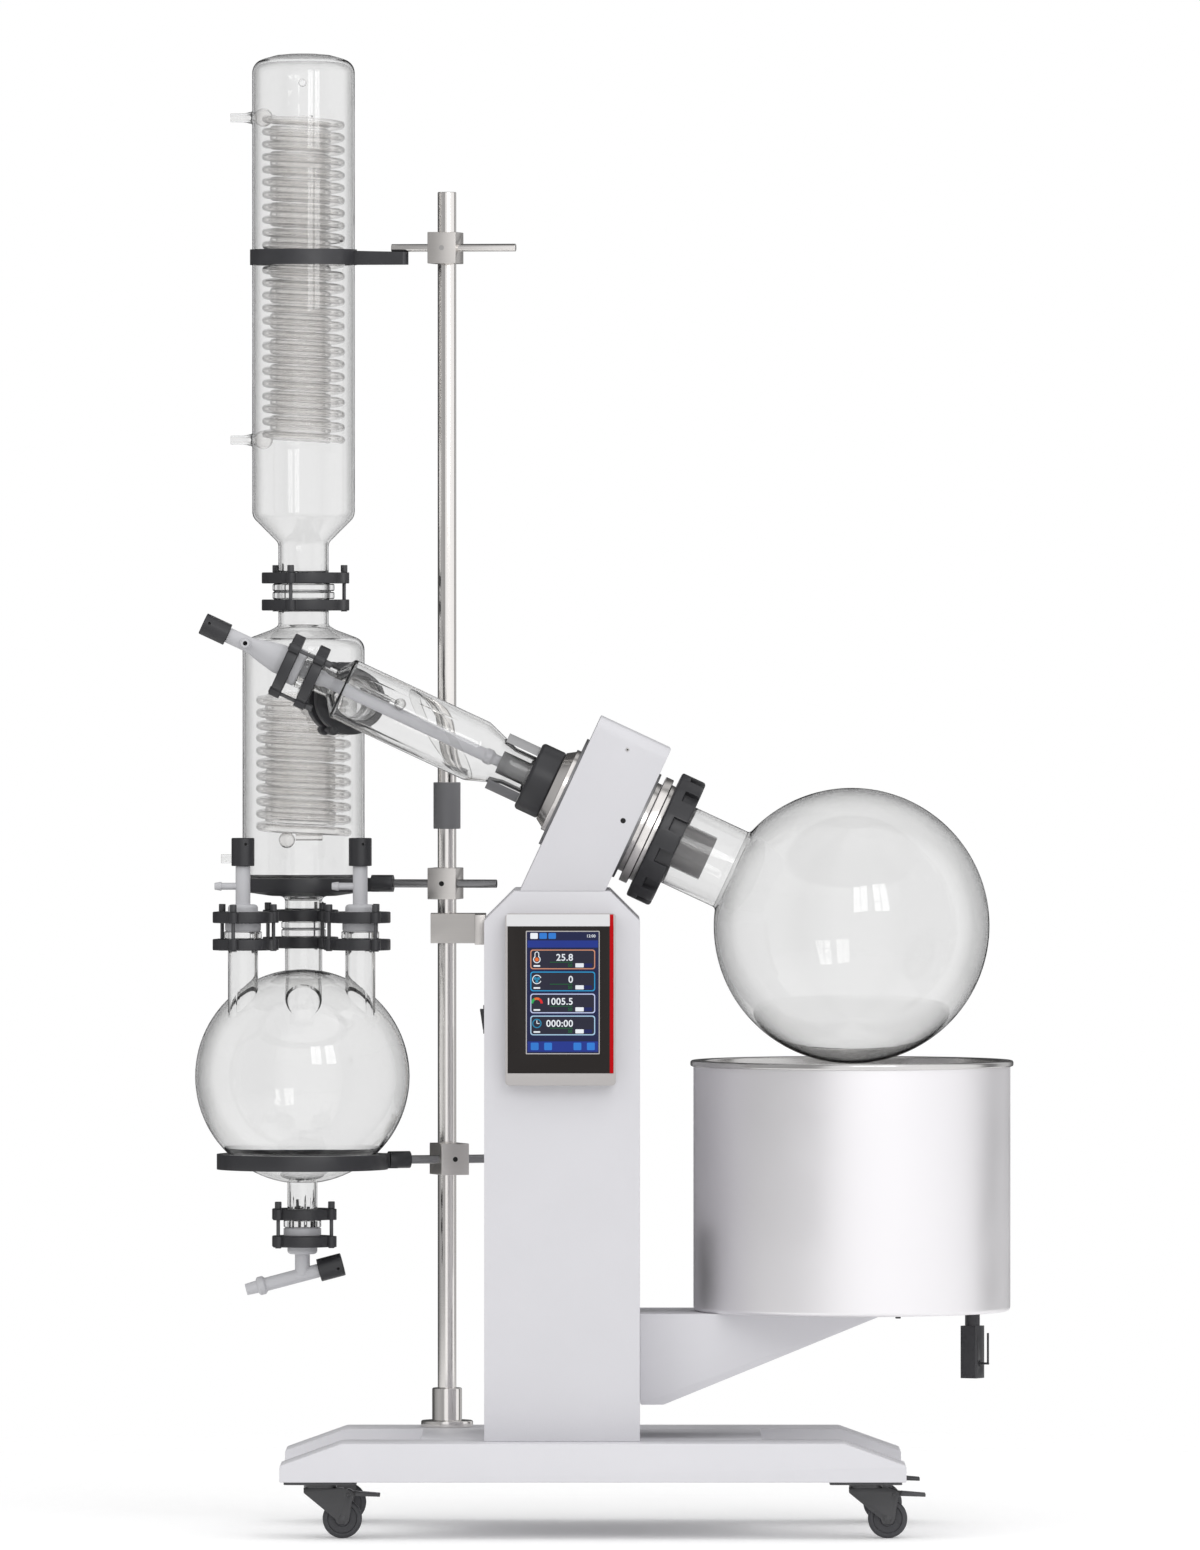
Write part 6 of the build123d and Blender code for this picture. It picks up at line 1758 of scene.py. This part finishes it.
    def sector(self, x: float, z: float, radii: Corner, start: float, end: float, level: int = 1) -> Solid:
        """Flat ring sector on the screen.

        Args:
            x: Its centre across.
            z: Its centre's height.
            radii: Inner and outer radius.
            start: First angle in degrees, counted from the right.
            end: Last angle in degrees.
            level: Number of reliefs proud of the face.

        Returns:
            The sector as a flat solid.
        """
        steps = max(4, int((end - start) / 12))
        angles = [math.radians(start + (end - start) * step / steps) for step in range(steps + 1)]
        corners = [(x + radii[1] * math.cos(angle), z + radii[1] * math.sin(angle)) for angle in angles]
        corners += [(x + radii[0] * math.cos(angle), z + radii[0] * math.sin(angle)) for angle in reversed(angles)]
        back = self.front - self.relief * level
        return Solid.prism(corners, back - self.relief, back)

    def symbols(self, x: float, z: float, pitch: float) -> None:
        """Generic signs of the four rows: thermometer, fan, gauge and clock.

        Args:
            x: Middle of the signs.
            z: Height of the top sign.
            pitch: Distance from row to row.
        """
        white = [self.sector(x, z - 2.6, (3.6, 4.7), 115, 425), self.sector(x, z + 4.6, (1.9, 2.9), 0, 180)]
        white += [self.plate((x + side - 0.5, x + side + 0.5), (z + 1.2, z + 4.8), 1) for side in (-2.4, 2.4)]
        white.append(self.sector(x, z - pitch, (4.9, 5.9), 20, 340))
        white += [self.plate((x - 0.5, x + 0.5), (z - 3 * pitch, z - 3 * pitch + 4), 2), self.plate((x, x + 3.4), (z - 3 * pitch - 0.5, z - 3 * pitch + 0.5), 2)]
        cyan = [self.sector(x + 2.3 * math.cos(turned), z - pitch + 2.3 * math.sin(turned), (0.05, 1.9), 0, 359) for turned in (0.5, 2.6, 4.7)]
        cyan.append(self.sector(x, z - 3 * pitch, (4.6, 5.9), 0, 359))
        gauge = z - 2 * pitch - 2.5
        groups = (
            ("white", (0.82, 0.86, 0.95), white),
            ("cyan", (0.02, 0.24, 0.42), cyan),
            ("orange", (0.80, 0.16, 0.03), [self.sector(x, z - 2.6, (0.05, 2.5), 0, 359), self.sector(x, gauge, (4.6, 7.6), 60, 118)]),
            ("green", (0.03, 0.42, 0.10), [self.sector(x, gauge, (4.6, 7.6), 120, 180)]),
            ("red", (0.75, 0.02, 0.02), [self.sector(x, gauge, (4.6, 7.6), 0, 58)]),
        )
        for name, colour, signs in groups:
            piece("screen_sign_" + name, side_by_side(signs), LitScreen("screen_sign_" + name, "display", colour=colour), "root")


@dataclass
class Stand:
    """Wheeled base, column, covers and the mains switch."""

    rocker_height: float = 656.5
    rocker_y: float = -120.0
    column_left: float = -147.0

    def build(self) -> None:
        """Dress the stand and make the wheels' treads."""
        dressed_copy("base_frame", WHITE_PAINT, 1.2)
        dressed_copy("column_shell", WHITE_PAINT, 1.0)
        dressed_copy("column_rear_cover", WHITE_PAINT, 0.4)
        dressed_copy("power_rocker", BLACK_PLASTIC, 0.4)
        bezel = cut(
            Solid.block((self.column_left - 1.6, self.column_left - 0.05), (self.rocker_y - 12.5, self.rocker_y + 12.5),
                        (self.rocker_height - 18, self.rocker_height + 18)),
            Solid.block((self.column_left - 5, self.column_left + 5), (self.rocker_y - 10, self.rocker_y + 10),
                        (self.rocker_height - 15.5, self.rocker_height + 15.5)),
        )
        piece("rocker_bezel", bezel, BLACK_PLASTIC, "root", bevel=0.4)
        screws = []
        for x in (-133, 37):
            for z in (150, 460, 765):
                screws.append(Solid.rod(4.2, 0, 1.6, 24, 0.6).at(move(x, 120.1, z), turn(-90, "X")))
        piece("rear_cover_screws", side_by_side(screws), SCREW_STEEL, "root")
        dressed_copy("caster_plates", CASTER_BLACK, 0.4)
        for name in ("front_left", "front_right", "rear_left", "rear_right"):
            dressed_copy(name + "_fork", CASTER_BLACK, 0.5)
            dressed_copy(name + "_wheel", RUBBER, 0.0)
            dressed_copy(name + "_pedal", CASTER_BLACK, 0.5)


@dataclass
class HeatingBath:
    """Round bath on its arm, with the pot, rim and drain cock."""

    x: float = 321.9
    y: float = -40.0
    radius: float = 202.5
    bottom: float = 282.0
    rim_radius: float = 206.5
    rim_height: float = 7.7
    top: float = 602.4
    pot: float = 190.0

    def build(self) -> None:
        """Make the bath and dress its arm and lift."""
        place = move(self.x, self.y)
        seam = self.top - self.rim_height
        jacket = Solid.lathe(
            [(0, self.bottom), (self.radius, self.bottom, 6), (self.radius, seam - 0.1), (self.radius - 2.5, seam - 0.1),
             (self.radius - 2.5, self.bottom + 2.5, 4), (0, self.bottom + 2.5)], 192
        ).at(place)
        piece("bath_outer_jacket", jacket, BATH_PAINT, "bath", ["bath_jacket"])
        pot = Solid.lathe(
            [(0, 300), (self.pot + 2, 300, 14), (self.pot + 2, seam), (self.rim_radius, seam, 2.5), (self.rim_radius, self.top, 3),
             (self.pot, self.top, 2.5), (self.pot, 302, 12), (0, 302)], 192
        ).at(place)
        piece("bath_deep_pot", pot, BATH_STEEL, "bath", ["bath_pot"])
        dressed_copy("bath_arm", WHITE_PAINT, 1.0)
        dressed_copy("bath_drain_cock", BLACK_PLASTIC, 0.4)
        lever = Solid.rod(4.0, 7, 12.6, 24, 0.3).beside(Solid.rod(1.4, 11, 23.8, 16, 0.4)).at(turn(90, "Y"))
        lever = lever.beside(Solid.rod(1.4, -1.4, 39, 16, 0.5).at(move(x=22.4)))
        place = move(476.0, self.y, 215.0) @ turn(-29.0, "Z")
        piece("drain_lever_bent", lever.at(place), BLACK_PLASTIC, "drain_lever", ["drain_lever"])
        stub = Solid.rod(3.5, 272, 282.3, 24, 0.8).at(move(381, self.y))
        piece("bath_plug_stub", stub, BLACK_PLASTIC, "bath")
        dressed_copy("lift_frame", BLOCK_STEEL, 0.0)
        dressed_copy("lead_screw", BLOCK_STEEL, 0.0)


@dataclass
class Mechanism:
    """Parts inside the head that keep their own meshes."""

    def build(self) -> None:
        """Give the hidden parts their materials."""
        finishes = {
            "bearings_and_seal": BLOCK_STEEL,
            "driven_gear": BLOCK_STEEL,
            "motor_pinion": BLOCK_STEEL,
            "drive_motor": MOTOR_BLACK,
        }
        for node, finish in finishes.items():
            data = frame["nodes"][node].data
            data.materials.clear()
            data.materials.append(finish.material())


@dataclass
class Studio:
    """Pale floor that fades out, soft light and the camera of the view."""

    focal: float = 17200.0
    image_height: float = 1550.0
    distance: float = 22.016
    eye_height: float = 1.1904
    tilt: float = 0.583
    floor_radius: float = 2.6

    def floor(self) -> None:
        """Round pale floor whose rim fades into the background."""
        bpy.ops.mesh.primitive_circle_add(vertices=96, radius=self.floor_radius, fill_type="NGON")
        floor = bpy.context.object
        floor.name = "studio_floor"
        write = Shader("pale_studio_floor")
        coordinates = write.tree.nodes.new("ShaderNodeTexCoord")
        length = write.tree.nodes.new("ShaderNodeVectorMath")
        length.operation = "LENGTH"
        write.tree.links.new(coordinates.outputs["Object"], length.inputs[0])
        alpha = write.ranged(length.outputs["Value"], 1.0, 0.0, 0.7, self.floor_radius)
        write.feed("Alpha", alpha)
        write.constant(Base_Color=(0.95, 0.95, 0.95, 1.0), Roughness=0.9, Emission_Color=(1.0, 1.0, 1.0, 1.0), Emission_Strength=0.10)
        floor.data.materials.append(write.material)

    def surround(self, tree: bpy.types.NodeTree, share: bpy.types.NodeSocket, stops: Sequence[Corner]) -> bpy.types.Node:
        """Grey ramp round the horizon.

        Args:
            tree: Node tree of the world.
            share: Bearing from 0 to 1, with the back of the object at a half and its right at three quarters.
            stops: (bearing in degrees from the back, brightness) pairs, from the front left round to the front right.

        Returns:
            The ramp node.
        """
        ramp = tree.nodes.new("ShaderNodeValToRGB")
        tree.links.new(share, ramp.inputs["Fac"])
        elements = ramp.color_ramp.elements
        elements[0].position = (stops[0][0] + 180) / 360
        elements[1].position = (stops[-1][0] + 180) / 360
        for bearing, _ in stops[1:-1]:
            elements.new((bearing + 180) / 360)
        for element, (_, value) in zip(elements, stops):
            element.color = (value, value, value * 1.01, 1.0)
        return ramp

    def world(self) -> None:
        """Pale surroundings; only glass and glossy faces see their darker parts."""
        world = bpy.data.worlds.new("studio")
        bpy.context.scene.world = world
        world.use_nodes = True
        tree = world.node_tree
        tree.nodes.clear()
        link = tree.links.new
        direction = tree.nodes.new("ShaderNodeTexCoord")
        split = tree.nodes.new("ShaderNodeSeparateXYZ")
        link(direction.outputs["Generated"], split.inputs["Vector"])
        side = tree.nodes.new("ShaderNodeMath")
        side.operation = "ARCTAN2"
        link(split.outputs["X"], side.inputs[0])
        link(split.outputs["Y"], side.inputs[1])
        share = tree.nodes.new("ShaderNodeMapRange")
        share.inputs["From Min"].default_value = -math.pi
        share.inputs["From Max"].default_value = math.pi
        link(side.outputs["Value"], share.inputs["Value"])
        through = self.surround(tree, share.outputs["Result"], (
            (-180, 0.94), (-155, 0.94), (-135, 0.55), (-115, 0.94), (-90, 0.95), (-66, 0.93), (-48, 0.34), (-30, 0.55), (-20, 0.96),
            (0, 0.98), (20, 0.96), (30, 0.35), (50, 0.06), (66, 0.9), (90, 0.95), (115, 0.94), (135, 0.55), (155, 0.94), (180, 0.94),
        ))
        mirrored = self.surround(tree, share.outputs["Result"], (
            (-180, 1.05), (-164, 1.0), (-154, 0.36), (-112, 0.46), (-76, 0.30), (-60, 0.10), (-8, 0.06),
            (18, 0.08), (32, 0.62), (50, 0.62), (57, 0.20), (70, 0.20), (79, 1.0), (130, 1.1), (180, 1.05),
        ))
        seen = tree.nodes.new("ShaderNodeLightPath")
        colour = None
        for ramp, ray in ((None, None), (mirrored, "Is Glossy Ray"), (through, "Is Transmission Ray")):
            if ramp is None:
                colour = self.dome(tree, split.outputs["Z"])
                continue
            mix = tree.nodes.new("ShaderNodeMix")
            mix.data_type = "RGBA"
            link(seen.outputs[ray], mix.inputs[0])
            link(colour, mix.inputs[6])
            link(ramp.outputs["Color"], mix.inputs[7])
            colour = mix.outputs[2]
        shown = tree.nodes.new("ShaderNodeMix")
        shown.data_type = "RGBA"
        shown.inputs[7].default_value = (1.0, 1.0, 1.0, 1.0)
        link(seen.outputs["Is Camera Ray"], shown.inputs[0])
        link(colour, shown.inputs[6])
        background = tree.nodes.new("ShaderNodeBackground")
        link(shown.outputs[2], background.inputs["Color"])
        output = tree.nodes.new("ShaderNodeOutputWorld")
        link(background.outputs["Background"], output.inputs["Surface"])

    @staticmethod
    def dome(tree: bpy.types.NodeTree, height: bpy.types.NodeSocket) -> bpy.types.NodeSocket:
        """Soft light that is brighter from above, for matt faces."""
        rise = tree.nodes.new("ShaderNodeMapRange")
        rise.inputs["From Min"].default_value = -0.5
        rise.inputs["From Max"].default_value = 0.9
        rise.inputs["To Min"].default_value = 0.60
        rise.inputs["To Max"].default_value = 1.02
        tree.links.new(height, rise.inputs["Value"])
        colour = tree.nodes.new("ShaderNodeCombineColor")
        for channel in ("Red", "Green", "Blue"):
            tree.links.new(rise.outputs["Result"], colour.inputs[channel])
        return colour.outputs["Color"]

    def lights(self) -> None:
        """Two paned windows at the front right and a soft box at the front left."""
        self.light("soft_box_left", Vector((-2.6, -3.0, 3.0)), 1.6, 2.4, 16.0)
        self.light("soft_box_above", Vector((1.2, -2.2, 4.2)), 2.2, 1.6, 20.0)
        middle = Vector((1.43, -3.36, 2.35))
        across = Vector((0.92, 0.39, 0.0)).normalized()
        for window, start in enumerate((-0.95, 0.18)):
            for column in range(2):
                for row in range(3):
                    spot = middle + across * (start + column * 0.40) + Vector((0, 0, (row - 1) * 0.52))
                    self.light(f"window_{window}_{column}_{row}", spot, 0.36, 0.47, 1.6, True)

    def light(self, name: str, spot: Vector, width: float, height: float, power: float, mirrored: bool = False) -> None:
        """One soft area light that faces the object.

        Args:
            name: Name of the light.
            spot: Its place in metres.
            width: Its width.
            height: Its height.
            power: Its power in watts.
            mirrored: Whether glass and metal show it.
        """
        data = bpy.data.lights.new(name, "AREA")
        data.shape = "RECTANGLE"
        data.size = width
        data.size_y = height
        data.energy = power
        holder = bpy.data.objects.new(name, data)
        bpy.context.scene.collection.objects.link(holder)
        holder.visible_glossy = mirrored
        holder.visible_transmission = mirrored
        holder.location = spot
        aim = Vector((0.1, 0.0, 0.9)) - spot
        holder.rotation_euler = aim.to_track_quat("-Z", "Y").to_euler()

    def camera(self) -> None:
        """Long lens straight at the front, a little above the middle."""
        data = bpy.data.cameras.new("front_camera")
        data.sensor_width = 36.0
        data.lens = self.focal / self.image_height * data.sensor_width
        data.clip_end = 100.0
        holder = bpy.data.objects.new("front_camera", data)
        bpy.context.scene.collection.objects.link(holder)
        shift = SHIFT * MILLIMETRE
        holder.location = (-shift.x, -self.distance - shift.y, self.eye_height)
        holder.rotation_euler = (math.radians(90 - self.tilt), 0, 0)
        bpy.context.scene.camera = holder

    def build(self) -> None:
        """Set up floor, light, colour and camera."""
        self.floor()
        self.world()
        self.lights()
        self.camera()
        scene = bpy.context.scene
        scene.view_settings.view_transform = "Standard"
        scene.cycles.max_bounces = 24
        scene.cycles.transmission_bounces = 24
        scene.cycles.transparent_max_bounces = 24


def main() -> None:
    """Build every sub-assembly and log each one as it is done."""
    logging.basicConfig(level=logging.INFO, format="%(message)s")
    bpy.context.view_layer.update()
    parts = (
        Studio(), Stand(), ControlPanel(), DriveHead(), TurningGlass(), VapourLine(), Condensers(), Receiver(),
        GlassClamps(), SupportRig(), HeatingBath(), Mechanism(),
    )
    for part in parts:
        part.build()
        LOG.info("%s done", type(part).__name__)


if __name__ == "__main__":
    main()
